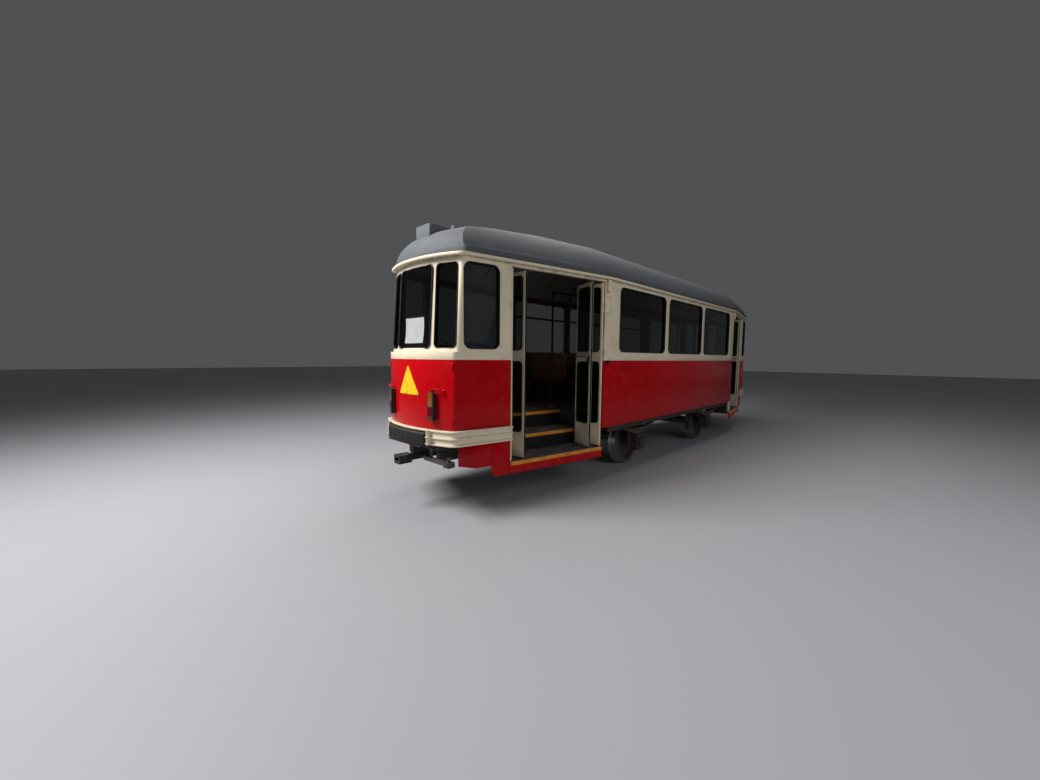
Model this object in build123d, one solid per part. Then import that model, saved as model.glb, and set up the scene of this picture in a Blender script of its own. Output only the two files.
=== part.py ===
"""A two-axle tram trailer car: narrow-ended wooden body on a steel underframe, folding doors on one side.

Millimetres. +X is the direction of travel, the doors are on the -Y side, +Z is up.
The origin is on the floor under the middle of the car, at the level of the wheel flanges.
"""

from build123d import *
from math import asin, atan, atan2, cos, degrees, radians, sin, sqrt, tan
import os

# Heights, all above the foot of the wheel flanges
flange_depth = 27
rail_top = flange_depth
skirt_bottom = rail_top + 470
step_box_bottom = rail_top + 335
first_step_top = rail_top + 475
second_step_top = rail_top + 682
floor_top = rail_top + 905
floor_thickness = 40
panel_bottom = rail_top + 745
panel_top = rail_top + 1690
belt_top = rail_top + 1775
window_bottom = rail_top + 1815
window_top = rail_top + 2735
door_top = rail_top + 2765
eaves = rail_top + 2827
drip_rail_height = 31
shoulder_height = rail_top + 3283

# Body in plan
body_half_length = 5100
saloon_half_length = 2600
half_width = 1090
corner_set_back = 145
corner_half_width = 680
corner_radius = 55
wall = 60
belt_ledge = 40
eaves_ledge = 105
eaves_overhang = 50
eaves_end_set_back = 90

# Roof section
shoulder_inset = 370
shoulder_slope = 22.4
roof_thickness = 50
fascia_height = 72
fascia_set_in = 20
fascia_depth = 8
dome_shoulder_set_back = 250
dome_shoulder_height = rail_top + 3162
dome_shoulder_slope = 9.2
dome_set_back = 125
roof_box_set_back = 200
roof_box_length = 420
roof_box_half_width = 150
roof_box_top = rail_top + 3230
roof_box_corner = 25
vent_set_back = 660
vent_radius = 45
vent_top = rail_top + 3323
fitting_root = 120

# Windows
saloon_window_count = 3
saloon_pillar = 140
saloon_end_pillar = 270
saloon_window_radius = 90
end_window_half_width = 325
corner_window_offset = 516
corner_window_width = 288
end_window_radius = 55
side_window_near = 260
side_window_far = 700
side_window_radius = 80
blind_window_margin = 50
glass_thickness = 6
hopper_rail_drop = 300
hopper_rail_height = 36
hopper_rail_depth = 24

# Doorway, measured back from the end of the car
door_near = 863
door_far_pillar = 100
leaf_thickness = 32
leaf_gap = 6
leaf_bottom = rail_top + 500
leaf_top = rail_top + 2742
leaf_stile = 38
leaf_kick_top = rail_top + 810
leaf_rail_bottom = rail_top + 1670
leaf_rail_top = rail_top + 1810
leaf_window_top = rail_top + 2690
leaf_window_radius = 50
pivot_pin_radius = 9
hinge_barrel_radius = 5
hinge_barrel_length = 60
hinge_heights = (leaf_bottom + 120, belt_top - 60, leaf_top - 180)
near_pair_fold = 76.5
far_pair_fold = 77.5
seat_clearance = 0.3

# Step wells
step_depth = 450
tread_thickness = 30
riser_thickness = 30
well_side_thickness = 18
nosing_height = 40
nosing_thickness = 6
nosing_top_depth = 18
nosing_top_thickness = 4
nosing_end_gap = 4
step_box_front = 250
step_box_slant_height = 75
step_box_slant = 45
step_box_set_in = 6

# Ends
band_bottom = rail_top + 750
band_top = rail_top + 920
band_depth = 34
band_rib_depth = 50
band_rib_height = 20
band_end_flange = 12
band_flange_depth = 92
band_rib_tip = 16
buffer_half_width = 390
buffer_bottom = rail_top + 735
buffer_top = rail_top + 885
buffer_reach = 100
buffer_edge_radius = 14
buffer_end_gap = 20
buffer_lip_gap = 8
lamp_offset = 418
lamp_width = 80
lamp_bottom = rail_top + 1018
lamp_top = rail_top + 1330
lamp_depth = 56
lamp_rim = 7
lamp_corner = 16
lamp_lens_corner = 10
lamp_lens_depth = 22
lamp_lens_thickness = 22
lamp_root = 40
skirt_thickness = 20
skirt_inner_set_back = 310
skirt_inner_offset = 520
skirt_corner_set_back = 420
skirt_set_in = 8
skirt_end_gap = 3

# Underframe
sole_bar_inset = 65
sole_bar_width = 115
sole_bar_bottom = rail_top + 655
cross_member_bottom = sole_bar_bottom + 30
frame_top = floor_top - floor_thickness
centre_sill = 250
centre_sill_width = 60
cross_member_width = 80
bolster_spacing = 490
inner_member_spacing = 505
end_member_set_back = 160
end_sill_bottom = rail_top + 500
end_sill_top = rail_top + 650
end_sill_drop_width = 30
headstock_set_back = 200
headstock_thickness = 70
headstock_half_width = 420
drawbar_pivot_set_back = 800
pivot_block_half_length = 70
drawbar_bottom = rail_top + 495
drawbar_top = rail_top + 595
drawbar_half_width = 42
drawbar_bar_inset = 20
drawbar_reach = 168
drawbar_head_length = 170
drawbar_head_half_width = 62
drawbar_head_corner = 12
drawbar_mouth_depth = 120
drawbar_mouth_half_width = 45
drawbar_mouth_inset = 28
drawbar_eye_radius = 60
drawbar_slack = 6
draw_pin_radius = 22
coupling_pin_radius = 18
coupling_pin_set_back = 65
link_height = rail_top + 560
link_set_back = 40
link_bar_half_width = 22
link_thickness = 45
link_head_radius = 62
link_head_offset = 720
link_foot_offset = 270
link_pin_radius = 20
link_pin_length = 110
link_hanger_offset = 360
link_hanger_width = 40
link_hanger_thickness = 15
link_arm_bottom = rail_top + 673
link_arm_thickness = 30
jacking_pad_set_back = 240
jacking_pad_half_length = 90
jacking_pad_half_width = 45
jacking_pad_thickness = 12

# Running gear
wheelbase = 3000
wheel_radius = 380
wheel_back_spacing = 1360
rim_width = 100
rim_depth = 60
flange_width = 26
flange_edge = 4
flange_root = 10
tread_rise = 3
web_thickness = 26
hub_radius = 105
hub_length = 130
axle_radius = 66
journal_radius = 48
journal_clearance = 0.4
journal_chamfer = 12
journal_set_back = 25
axlebox_half_length = 125
axlebox_half_height = 130
axlebox_overhang = 15
axlebox_corner = 30
axlebox_cover_radius = 85
axlebox_cover_depth = 24
journal_cover_gap = 8
horn_guide_thickness = 16
horn_guide_foot = 40
horn_guide_spread = 150
guide_edge_gap = 3
spring_half_span = 470
spring_camber = 46
spring_step = 0.12
spring_leaf_thickness = 13
spring_leaf_count = 7
spring_width = 70
spring_edge_inset = 15
spring_eye_radius = 18
spring_buckle_half_length = 45
spring_buckle_rim = 8
shoe_gap = 6
shoe_thickness = 55
shoe_width = 60
shoe_half_height = 130
brake_hanger_half_thickness = 15
brake_hanger_half_width = 12
brake_beam_half_height = 25
brake_beam_overhang = 20

# Inside
seat_rows = 5
seat_first_row = 650
seat_last_row = 1350
seat_wall_gap = 25
single_seat_width = 430
double_seat_width = 850
seat_height = floor_top + 430
seat_back_rise = 470
handrail_radius = 17
handrail_height = floor_top + 1880
handrail_set_back = 210
handrail_places = (-540, 120)
brake_column_set_back = 330
brake_column_offset = -300
brake_column_radius = 30
brake_column_height = 920
brake_foot_radius = 80
brake_foot_thickness = 16
brake_wheel_radius = 170
brake_wheel_rim = 13
brake_wheel_spokes = 4

door_far = body_half_length - saloon_half_length - door_far_pillar
saloon_window_width = (
    2 * (saloon_half_length - saloon_end_pillar) - (saloon_window_count - 1) * saloon_pillar
) / saloon_window_count
saloon_window_pitch = saloon_window_width + saloon_pillar
sole_bar_outer = half_width - sole_bar_inset
sole_bar_inner = sole_bar_outer - sole_bar_width
axlebox_inner = sole_bar_inner
axlebox_outer = sole_bar_outer + axlebox_overhang
horn_guide_inner = sole_bar_inner + guide_edge_gap
spring_centre = sole_bar_outer - spring_edge_inset - spring_width / 2
journal_start = axlebox_inner - axlebox_overhang
journal_end = axlebox_outer - journal_set_back
axle_height = wheel_radius + flange_depth
drawbar_pivot = body_half_length - drawbar_pivot_set_back
saloon_frame_reach = saloon_half_length - end_member_set_back
bolster_places = (wheelbase / 2 - bolster_spacing, wheelbase / 2 + bolster_spacing)
cross_member_places = (0, inner_member_spacing, *bolster_places, saloon_frame_reach)
end_zone = body_half_length - 2 * headstock_set_back
roof_set_in = fascia_set_in + fascia_depth
beyond = 200

taper = (half_width - corner_half_width) / (body_half_length - corner_set_back - saloon_half_length)
taper_angle = atan(taper)
end_radius = (corner_half_width**2 + corner_set_back**2) / (2 * corner_set_back)


def prism(face, bottom, top):
    """A flat outline lying at z 0, raised between two heights."""
    return extrude(Pos(0, 0, bottom) * face, amount=top - bottom, dir=(0, 0, 1))


def block(x0, x1, y0, y1, z0, z1):
    """A rectangular solid between two corners."""
    centre = Pos((x0 + x1) / 2, (y0 + y1) / 2, (z0 + z1) / 2)
    return centre * Box(abs(x1 - x0), abs(y1 - y0), abs(z1 - z0))


def polygon(points):
    """A flat face with straight edges through the points."""
    return Face(Wire([Line(p, q) for p, q in zip(points, points[1:] + points[:1])]))


def fuse(pieces):
    """One shape of several that touch or overlap."""
    first, *others = pieces
    return first.fuse(*others) if others else first


def group(pieces):
    """Separate solids kept together in one sub-part."""
    return Compound(children=[solid for piece in pieces for solid in piece.solids()])


def cylinder_y(x, y0, y1, z, radius):
    """A round bar lying across the car."""
    return Pos(x, (y0 + y1) / 2, z) * Rot(90, 0, 0) * Cylinder(radius, y1 - y0)


def cylinder_z(x, y, z0, z1, radius):
    """An upright round bar."""
    return Pos(x, y, (z0 + z1) / 2) * Cylinder(radius, z1 - z0)


def front(shape):
    """The same piece at the other end of the car."""
    return mirror(shape, about=Plane.YZ)


def left(shape):
    """The same piece on the side without doors."""
    return mirror(shape, about=Plane.XZ)


def wall_half_width(x, grow=0.0):
    """Half the width of the tapered platform at a distance from the middle of the car."""
    return half_width - taper * (abs(x) - saloon_half_length) + grow / cos(taper_angle)


def plan(grow=0.0, end_set_back=0.0, radius=corner_radius):
    """The body seen from above, grown outwards, with both bowed ends drawn in."""
    arc_centre = body_half_length - end_radius - end_set_back
    arc_radius = end_radius + grow
    kink_x = saloon_half_length + (grow / cos(taper_angle) - grow) / taper
    line_at_zero = half_width + grow / cos(taper_angle) + taper * saloon_half_length
    a = 1 + taper**2
    b = -2 * arc_centre - 2 * taper * line_at_zero
    c = arc_centre**2 + line_at_zero**2 - arc_radius**2
    corner_x = (-b + sqrt(b**2 - 4 * a * c)) / (2 * a)
    corner_y = line_at_zero - taper * corner_x
    side = half_width + grow
    tip = arc_centre + arc_radius
    edges = []
    for sign in (1, -1):
        edges += [
            Line((-sign * kink_x, sign * side), (sign * kink_x, sign * side)),
            Line((sign * kink_x, sign * side), (sign * corner_x, sign * corner_y)),
            ThreePointArc(
                (sign * corner_x, sign * corner_y),
                (sign * tip, 0),
                (sign * corner_x, -sign * corner_y),
            ),
            Line((sign * corner_x, -sign * corner_y), (sign * kink_x, -sign * side)),
        ]
    outline = Wire(edges)
    corners = [v for v in outline.vertices() if abs(abs(v.X) - corner_x) < 0.01]
    return Face(outline.fillet_2d(max(radius + grow, 5), corners))


def ring(outer, inner, bottom, top):
    """A wall of constant plan between two heights."""
    return prism(plan(outer), bottom, top) - prism(plan(inner), bottom - 1, top + 1)


def rear_end_box(bottom, top, near=saloon_half_length):
    """Everything behind the saloon, used to keep one end of a piece that runs all round."""
    return block(-body_half_length - beyond, -near, -half_width - beyond, half_width + beyond, bottom, top)


# The doorway frame: u runs forwards along the outside of the tapered wall, v inwards, z up
door_middle = body_half_length - (door_near + door_far) / 2
door_half_width = (door_far - door_near) / 2 / cos(taper_angle)
door_plane = Plane(
    origin=(-door_middle, -wall_half_width(door_middle), 0),
    x_dir=(cos(taper_angle), -sin(taper_angle), 0),
    z_dir=(0, 0, 1),
)


def at_door(u0, u1, v0, v1, z0, z1):
    """A rectangular solid set square to the rear doorway."""
    return door_plane * block(u0, u1, v0, v1, z0, z1)


def tapered_wall_plane(set_back, height):
    """A plane on the outside of the rear platform's door-side wall, looking out."""
    x = -(body_half_length - set_back)
    return Plane(
        origin=(x, -wall_half_width(x), height),
        x_dir=(cos(taper_angle), -sin(taper_angle), 0),
        z_dir=(-sin(taper_angle), -cos(taper_angle), 0),
    )


def end_wall_plane(offset, height, set_back=0.0, lean=0.0):
    """A plane on the bowed rear end, at a distance off the centre line, looking out."""
    turn = asin(offset / end_radius)
    tip = body_half_length - set_back
    origin = (-(tip - end_radius * (1 - cos(turn))), offset, height)
    return Plane(
        origin=origin,
        x_dir=(-sin(turn), -cos(turn), 0),
        z_dir=(-cos(turn) * cos(lean), sin(turn) * cos(lean), sin(lean)),
    )


def opening(plane, width, height, radius, depth=2.5 * wall):
    """A rounded window cut through a wall."""
    return extrude(plane * RectangleRounded(width, height, radius), amount=depth, both=True)


def pane(plane, width, height, radius):
    """A sheet of glass that fills such a cut, half way through the wall."""
    sheet = Pos(0, 0, -wall / 2) * RectangleRounded(width, height, radius)
    return extrude(plane * sheet, amount=glass_thickness / 2, both=True)


window_height = window_top - window_bottom
window_middle = (window_top + window_bottom) / 2
window_lean = atan((eaves_ledge - belt_ledge) / (eaves - belt_top))
lean_at_middle = belt_ledge + (window_middle - belt_top) * tan(window_lean)

# Window table: plane, width, radius
side_windows_tapered = [
    (
        tapered_wall_plane((side_window_near + side_window_far) / 2, window_middle),
        (side_window_far - side_window_near) / cos(taper_angle),
        side_window_radius,
    )
]
end_windows = [
    (end_wall_plane(offset, window_middle, lean_at_middle, window_lean), width, end_window_radius)
    for offset, width in (
        (0, 2 * end_window_half_width),
        (-corner_window_offset, corner_window_width),
        (corner_window_offset, corner_window_width),
    )
]
blind_window = (
    tapered_wall_plane((door_near + door_far) / 2, window_middle),
    (door_far - door_near - 2 * blind_window_margin) / cos(taper_angle),
    saloon_window_radius,
)
saloon_window_places = [
    (i - (saloon_window_count - 1) / 2) * saloon_window_pitch for i in range(saloon_window_count)
]


def saloon_window_plane(x):
    """A plane on the outside of the saloon's door-side wall, looking out."""
    return Plane(origin=(x, -half_width, window_middle), x_dir=(1, 0, 0), z_dir=(0, -1, 0))


def door_cut(bottom, top):
    """A space through the wall, as wide as the rear doorway."""
    return at_door(-door_half_width, door_half_width, -2 * wall, 2 * wall, bottom, top)


def end_panels():
    """Lower panels of the rear end, from the saloon round the end to the door."""
    walls = ring(0, -wall, panel_bottom, panel_top) & rear_end_box(panel_bottom, panel_top)
    return walls - door_cut(panel_bottom - 1, panel_top + 1)


def end_frame():
    """Belt and window frame of the rear end, whose glazed part leans inwards, and the doorway's header."""
    belt = ring(0, -wall, panel_top, belt_top)
    outer = loft(
        [Pos(0, 0, belt_top) * plan(0, belt_ledge), Pos(0, 0, eaves) * plan(0, eaves_ledge)],
        ruled=True,
    )
    inner = loft(
        [Pos(0, 0, belt_top) * plan(-wall, belt_ledge), Pos(0, 0, eaves) * plan(-wall, eaves_ledge)],
        ruled=True,
    )
    whole = fuse([belt, outer - inner]) & rear_end_box(panel_top, eaves)
    header = whole & door_cut(door_top, eaves)
    frame = whole - door_cut(panel_top - 1, eaves + 1)
    for plane, width, radius in end_windows:
        frame -= opening(plane, width, window_height, radius)
    for plane, width, radius in side_windows_tapered:
        cut = opening(plane, width, window_height, radius)
        frame = frame - cut - left(cut)
    plane, width, radius = blind_window
    frame -= left(opening(plane, width, window_height, radius))
    return frame, header


def end_glass():
    """Panes of the rear end and of the platform's blind side."""
    panes = [pane(plane, width, window_height, radius) for plane, width, radius in end_windows]
    for plane, width, radius in side_windows_tapered:
        sheet = pane(plane, width, window_height, radius)
        panes += [sheet, left(sheet)]
    plane, width, radius = blind_window
    panes.append(left(pane(plane, width, window_height, radius)))
    return panes


def side_panels():
    """Lower panels of the saloon, both sides."""
    sides = (-half_width, -half_width + wall)
    right = block(-saloon_half_length, saloon_half_length, *sides, panel_bottom, panel_top)
    return group([right, left(right)])


def saloon_frames():
    """Belt, pillars and cant rail of the saloon, both sides."""
    sides = (-half_width, -half_width + wall)
    right = block(-saloon_half_length, saloon_half_length, *sides, panel_top, eaves)
    for x in saloon_window_places:
        right -= opening(saloon_window_plane(x), saloon_window_width, window_height, saloon_window_radius)
    return group([right, left(right)])


def saloon_glass():
    """Panes of the saloon windows."""
    panes = [
        pane(saloon_window_plane(x), saloon_window_width, window_height, saloon_window_radius)
        for x in saloon_window_places
    ]
    return group(panes + [left(sheet) for sheet in panes])


def window_rails():
    """Rails that part each wide window's upper hopper from its lower pane."""
    height = window_top - hopper_rail_drop
    inner_face = -half_width + wall / 2 + glass_thickness / 2
    rails = [
        block(
            x - saloon_window_width / 2,
            x + saloon_window_width / 2,
            inner_face,
            inner_face + hopper_rail_depth,
            height,
            height + hopper_rail_height,
        )
        for x in saloon_window_places
    ]
    return group(rails + [left(rail) for rail in rails])


def roof_section(half, rise, bottom):
    """Cross-section of the roof: a shoulder arc each side and one crown arc."""
    slope = radians(shoulder_slope)
    shoulder_y = half - shoulder_inset
    shoulder_z = shoulder_height + rise
    apex_z = shoulder_z + shoulder_y * tan(slope / 2)
    right_arc = TangentArc((shoulder_y, shoulder_z), (half, bottom), tangent=(cos(slope), -sin(slope)))
    left_arc = TangentArc((-shoulder_y, shoulder_z), (-half, bottom), tangent=(-cos(slope), -sin(slope)))
    crown = ThreePointArc((shoulder_y, shoulder_z), (0, apex_z), (-shoulder_y, shoulder_z))
    return Face(Wire([right_arc, crown, left_arc, Line((-half, bottom), (half, bottom))]))


def roof_body(shrink_side=0.0, shrink_top=0.0):
    """The solid under the roof skin: one saloon stretch, two tapered ends, domed by a body of revolution."""
    bottom = eaves - (shrink_top > 0)
    saloon_half = half_width + eaves_overhang - shrink_side
    far = body_half_length + beyond
    far_half = saloon_half - taper * (far - saloon_half_length)
    section = roof_section(saloon_half, -shrink_top, bottom)
    narrow = roof_section(far_half, -shrink_top, bottom)
    wide_plane = Plane(origin=(-saloon_half_length, 0, 0), x_dir=(0, 1, 0), z_dir=(1, 0, 0))
    far_plane = Plane(origin=(-far, 0, 0), x_dir=(0, 1, 0), z_dir=(1, 0, 0))
    middle = extrude(wide_plane * section, amount=2 * saloon_half_length, dir=(1, 0, 0))
    tapered = loft([wide_plane * section, far_plane * narrow], ruled=True)
    axis_x = -(body_half_length - end_radius - dome_set_back)
    rim = end_radius + eaves_overhang - shrink_side
    shoulder_r = rim - dome_shoulder_set_back
    shoulder_z = dome_shoulder_height - shrink_top
    slope = radians(dome_shoulder_slope)
    apex_z = shoulder_z + shoulder_r * tan(slope / 2)
    dome_outline = Wire(
        [
            Line((0, bottom), (rim, bottom)),
            TangentArc((shoulder_r, shoulder_z), (rim, bottom), tangent=(cos(slope), -sin(slope))),
            TangentArc((shoulder_r, shoulder_z), (0, apex_z), tangent=(-cos(slope), sin(slope))),
            Line((0, apex_z), (0, bottom)),
        ]
    )
    dome_plane = Plane(origin=(axis_x, 0, 0), x_dir=(1, 0, 0), z_dir=(0, -1, 0))
    dome = revolve(dome_plane * Face(dome_outline), axis=Axis((axis_x, 0, 0), (0, 0, 1)), revolution_arc=360)
    end_part = tapered & dome
    sides = (-saloon_half - beyond, saloon_half + beyond)
    inner_part = tapered & block(axis_x, 0, *sides, bottom, apex_z + beyond)
    rear = fuse([end_part, inner_part])
    return fuse([middle, rear, front(rear)])


def roof():
    """The roof with its ceiling, one shell, over an upright fascia that runs all round its foot."""
    fascia = prism(plan(eaves_overhang - fascia_set_in, dome_set_back), eaves, eaves + fascia_height)
    return roof_body(roof_set_in) + fascia - roof_body(eaves_overhang + wall, roof_thickness)


def drip_rail():
    """The bead along the eaves, standing out from the wall under the roof's edge."""
    outer = prism(plan(eaves_overhang, eaves_end_set_back), eaves - drip_rail_height, eaves)
    inner = loft(
        [Pos(0, 0, belt_top) * plan(0, belt_ledge), Pos(0, 0, eaves) * plan(0, eaves_ledge)],
        ruled=True,
    )
    return outer - inner


def roof_fittings(roof_solid):
    """A box on the centre line at each end of the roof, and a stub vent behind it."""
    front_face = -body_half_length + roof_box_set_back
    sides = (-roof_box_half_width, roof_box_half_width)
    box_root = roof_box_top - 2 * fitting_root
    box = block(front_face, front_face + roof_box_length, *sides, box_root, roof_box_top)
    box = fillet(box.edges().filter_by(Axis.Z), roof_box_corner)
    vent_root = vent_top - 2 * fitting_root
    vent = Pos(-body_half_length + vent_set_back, 0, (vent_top + vent_root) / 2)
    vent *= Cylinder(vent_radius, vent_top - vent_root)
    pieces = []
    for piece in (box, vent):
        rear = piece - roof_solid
        pieces += [rear, front(rear)]
    return pieces


def bumper_bands():
    """Ribbed bands round each end, from the buffer to the door on one side and as far on the other."""
    middle = (band_bottom + band_top) / 2
    ribs = (
        (band_bottom, band_bottom + band_rib_height),
        (middle - band_rib_height / 2, middle + band_rib_height / 2),
        (band_top - band_rib_height, band_top),
    )
    end = rear_end_box(band_bottom, band_top, body_half_length - door_near)
    gap = buffer_half_width + buffer_end_gap
    sheet = (ring(band_depth, 0, band_bottom, band_top) & end) - buffer_space(gap)
    bars = fuse([ring(band_rib_depth, 0, low, high) for low, high in ribs]) & end
    bars -= buffer_space(gap - band_rib_tip)
    flange_ring = ring(band_flange_depth, 0, band_bottom, band_top)
    flanges = []
    for side in (-1, 1):
        y0 = side * gap
        y1 = y0 + side * band_end_flange
        slice_ = block(-body_half_length - beyond, -end_zone, y0, y1, band_bottom, band_top)
        flanges.append(flange_ring & slice_)
    rear = fuse([sheet, bars] + flanges)
    return group([rear, front(rear)])


def buffer_space(half):
    """The gap in the band that the buffer sits in, under the band's top rib."""
    top = buffer_top + buffer_lip_gap
    return block(-body_half_length - beyond, -end_zone, -half, half, band_bottom - 1, top)


def buffers():
    """The wide rubbing buffer on each end."""
    body = ring(buffer_reach, 0, buffer_bottom, buffer_top)
    sides = (-buffer_half_width, buffer_half_width)
    body &= block(-body_half_length - beyond, -end_zone, *sides, buffer_bottom, buffer_top)
    tip = body.faces().sort_by(Axis.X)[0]
    rear = fillet(tip.edges(), buffer_edge_radius)
    return group([rear, front(rear)])


def tail_lamps():
    """Housings of the lamps on the rear end, each with two lenses in one recess."""
    housings, lenses = [], []
    height = lamp_top - lamp_bottom
    lens_width = lamp_width - 2 * lamp_rim
    lens_height = (height - 2 * lamp_rim) / 2
    body = prism(plan(0), lamp_bottom - lamp_root, lamp_top + lamp_root)
    for side in (-1, 1):
        plane = end_wall_plane(side * lamp_offset, (lamp_top + lamp_bottom) / 2)
        outline = plane * RectangleRounded(lamp_width, height, lamp_corner)
        blank = extrude(outline, amount=lamp_depth) + extrude(outline, amount=-lamp_root)
        face = plane * Pos(0, 0, lamp_depth)
        recess = face * RectangleRounded(lens_width, 2 * lens_height, lamp_lens_corner)
        cut = extrude(recess, amount=-lamp_lens_depth)
        housings.append(blank - body - cut)
        for place in (-1, 1):
            bed = plane * Pos(0, place * lens_height / 2, lamp_depth - lamp_lens_depth)
            lens = extrude(bed * Rectangle(lens_width - 1, lens_height - 1), amount=lamp_lens_thickness)
            lenses.append(lens & cut)
    return group(housings), group(lenses)


def skirts():
    """Low panels below each end's corner, ahead of the step box, on both sides."""
    corner_x = -body_half_length + skirt_corner_set_back
    step_box_x = -(door_middle + (door_half_width + step_box_front + skirt_end_gap) * cos(taper_angle))
    path = [
        (-body_half_length + skirt_inner_set_back, -skirt_inner_offset),
        (corner_x, -wall_half_width(corner_x) + skirt_set_in),
        (step_box_x, -wall_half_width(step_box_x) + skirt_set_in),
    ]
    height = panel_bottom - skirt_bottom
    pieces = []
    for (xa, ya), (xb, yb) in zip(path, path[1:]):
        run = sqrt((xb - xa) ** 2 + (yb - ya) ** 2)
        plate = Pos(run / 2, skirt_thickness / 2, 0) * Box(run, skirt_thickness, height)
        turn = degrees(atan2(yb - ya, xb - xa))
        pieces.append(Pos(xa, ya, skirt_bottom + height / 2) * Rot(0, 0, turn) * plate)
    right = fuse(pieces)
    return group([right, left(right), front(right), front(left(right))])


def step_well():
    """Two steps and the floor's edge inside the rear doorway, with the box that holds them."""
    w = door_half_width
    fold = step_depth + riser_thickness
    pieces = [
        at_door(-w, w, 0, fold, first_step_top - tread_thickness, first_step_top),
        at_door(-w, w, 0, riser_thickness, step_box_bottom, first_step_top),
        at_door(-w, w, step_depth, fold, first_step_top, second_step_top),
        at_door(-w, w, step_depth, fold + step_depth, second_step_top - tread_thickness, second_step_top),
        at_door(-w, w, 2 * step_depth, fold + step_depth, second_step_top, frame_top),
    ]
    for side in (-1, 1):
        a, b = side * w, side * (w + well_side_thickness)
        pieces.append(at_door(a, b, wall, fold, first_step_top - tread_thickness, frame_top))
        pieces.append(at_door(a, b, fold, fold + step_depth, second_step_top - tread_thickness, frame_top))
    corner = [
        (-w, panel_bottom),
        (-w - step_box_front, panel_bottom),
        (-w - step_box_front, step_box_bottom + step_box_slant_height),
        (-w - step_box_front + step_box_slant, step_box_bottom),
        (-w, step_box_bottom),
    ]
    upright = Plane(origin=(0, step_box_set_in, 0), x_dir=(1, 0, 0), z_dir=(0, -1, 0))
    plate = extrude(upright * polygon(corner), amount=skirt_thickness, dir=(0, 1, 0))
    pieces.append(door_plane * plate)
    return fuse(pieces)


def step_nosings():
    """Angle strips along the edge of the sill, the second step and the floor, in the rear doorway."""
    w = door_half_width - nosing_end_gap
    edges = ((0, first_step_top), (step_depth, second_step_top), (2 * step_depth, floor_top))
    strips = []
    for v, top in edges:
        upright = at_door(-w, w, v - nosing_thickness, v, top - nosing_height, top)
        flat = at_door(-w, w, v - nosing_thickness, v + nosing_top_depth, top, top + nosing_top_thickness)
        strips.append(fuse([upright, flat]))
    return strips


def floor():
    """The floor of saloon and platforms, cut back to the second step's edge at each doorway."""
    plate = prism(plan(-wall - seat_clearance), frame_top, floor_top)
    w = door_half_width + well_side_thickness
    well = at_door(-w, w, -wall, 2 * step_depth, frame_top - 1, floor_top + 1)
    return plate - well - front(well)


def leaf(length, hinge_at_middle, tail):
    """One door leaf along +X from its hinge, its outside facing -Y; returns frame and panes."""
    if hinge_at_middle:
        outer_face, start = -leaf_thickness / 2, 0.0
    else:
        outer_face, start = 0.0, leaf_gap
    end = length - tail
    inner_face = outer_face + leaf_thickness
    frame = block(start, end, outer_face, inner_face, leaf_bottom, leaf_top)
    if hinge_at_middle:
        edge = Cylinder(leaf_thickness / 2, leaf_top - leaf_bottom)
        frame = frame + Pos(0, 0, (leaf_top + leaf_bottom) / 2) * edge
    low = (leaf_kick_top, leaf_rail_bottom)
    high = (leaf_rail_top, leaf_window_top)
    x0 = start + leaf_stile - (leaf_thickness / 2 if hinge_at_middle else 0)
    x1 = end - leaf_stile
    panes = []
    for bottom, top in (low, high):
        middle = Plane(
            origin=((x0 + x1) / 2, outer_face + leaf_thickness / 2, (bottom + top) / 2),
            x_dir=(1, 0, 0),
            z_dir=(0, -1, 0),
        )
        shape = middle * RectangleRounded(x1 - x0, top - bottom, leaf_window_radius)
        frame -= extrude(shape, amount=leaf_thickness, both=True)
        panes.append(extrude(shape, amount=glass_thickness / 2, both=True))
    return frame, panes


def hinge_segments(side, centre_y, offset):
    """Barrels of a leaf's knuckle hinge about a vertical axis at the origin, each with its web."""
    pieces = []
    for height in hinge_heights:
        z0 = height + offset
        z1 = z0 + hinge_barrel_length - seat_clearance
        pieces.append(Pos(0, centre_y, (z0 + z1) / 2) * Cylinder(hinge_barrel_radius, z1 - z0))
        web_end = side * (leaf_gap + 4)
        pieces.append(block(min(0, web_end), max(0, web_end), centre_y, centre_y + 4, z0, z1))
    return pieces


jamb_axis_inset = leaf_gap + leaf_thickness / 2
leaf_reach = (door_half_width - jamb_axis_inset - leaf_gap) / 2


def leaf_pair(fold, mirror_pair):
    """A hinged pair of leaves in the rear doorway, folded by an angle from shut."""
    frame_a, panes_a = leaf(leaf_reach, True, leaf_gap)
    knuckle_y = -leaf_thickness / 2
    for piece in hinge_segments(-1, 0, 0):
        frame_a += Pos(leaf_reach, knuckle_y, 0) * piece
    gap_below = leaf_bottom - first_step_top
    gap_above = door_top - leaf_top
    low_start, high_end = first_step_top + seat_clearance, door_top - seat_clearance
    low_pin = cylinder_z(0, 0, low_start, low_start + gap_below, pivot_pin_radius)
    high_pin = cylinder_z(0, 0, high_end - gap_above, high_end, pivot_pin_radius)
    frame_a = frame_a + low_pin + high_pin
    frame_b, panes_b = leaf(leaf_reach, False, 0)
    for piece in hinge_segments(1, 0, hinge_barrel_length):
        frame_b += piece
    carried = Pos(leaf_reach, knuckle_y, 0) * Rot(0, 0, -2 * fold)
    whole = Pos(-door_half_width + jamb_axis_inset, wall / 2, 0) * Rot(0, 0, fold)
    moved = [
        (whole * frame_a, [whole * p for p in panes_a]),
        (whole * carried * frame_b, [whole * carried * p for p in panes_b]),
    ]
    placed = []
    for frame, panes in moved:
        shapes = [frame] + panes
        if mirror_pair:
            shapes = [mirror(s, about=Plane.YZ) for s in shapes]
        shapes = [door_plane.location * s for s in shapes]
        placed.append((shapes[0], group(shapes[1:])))
    return placed


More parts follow.
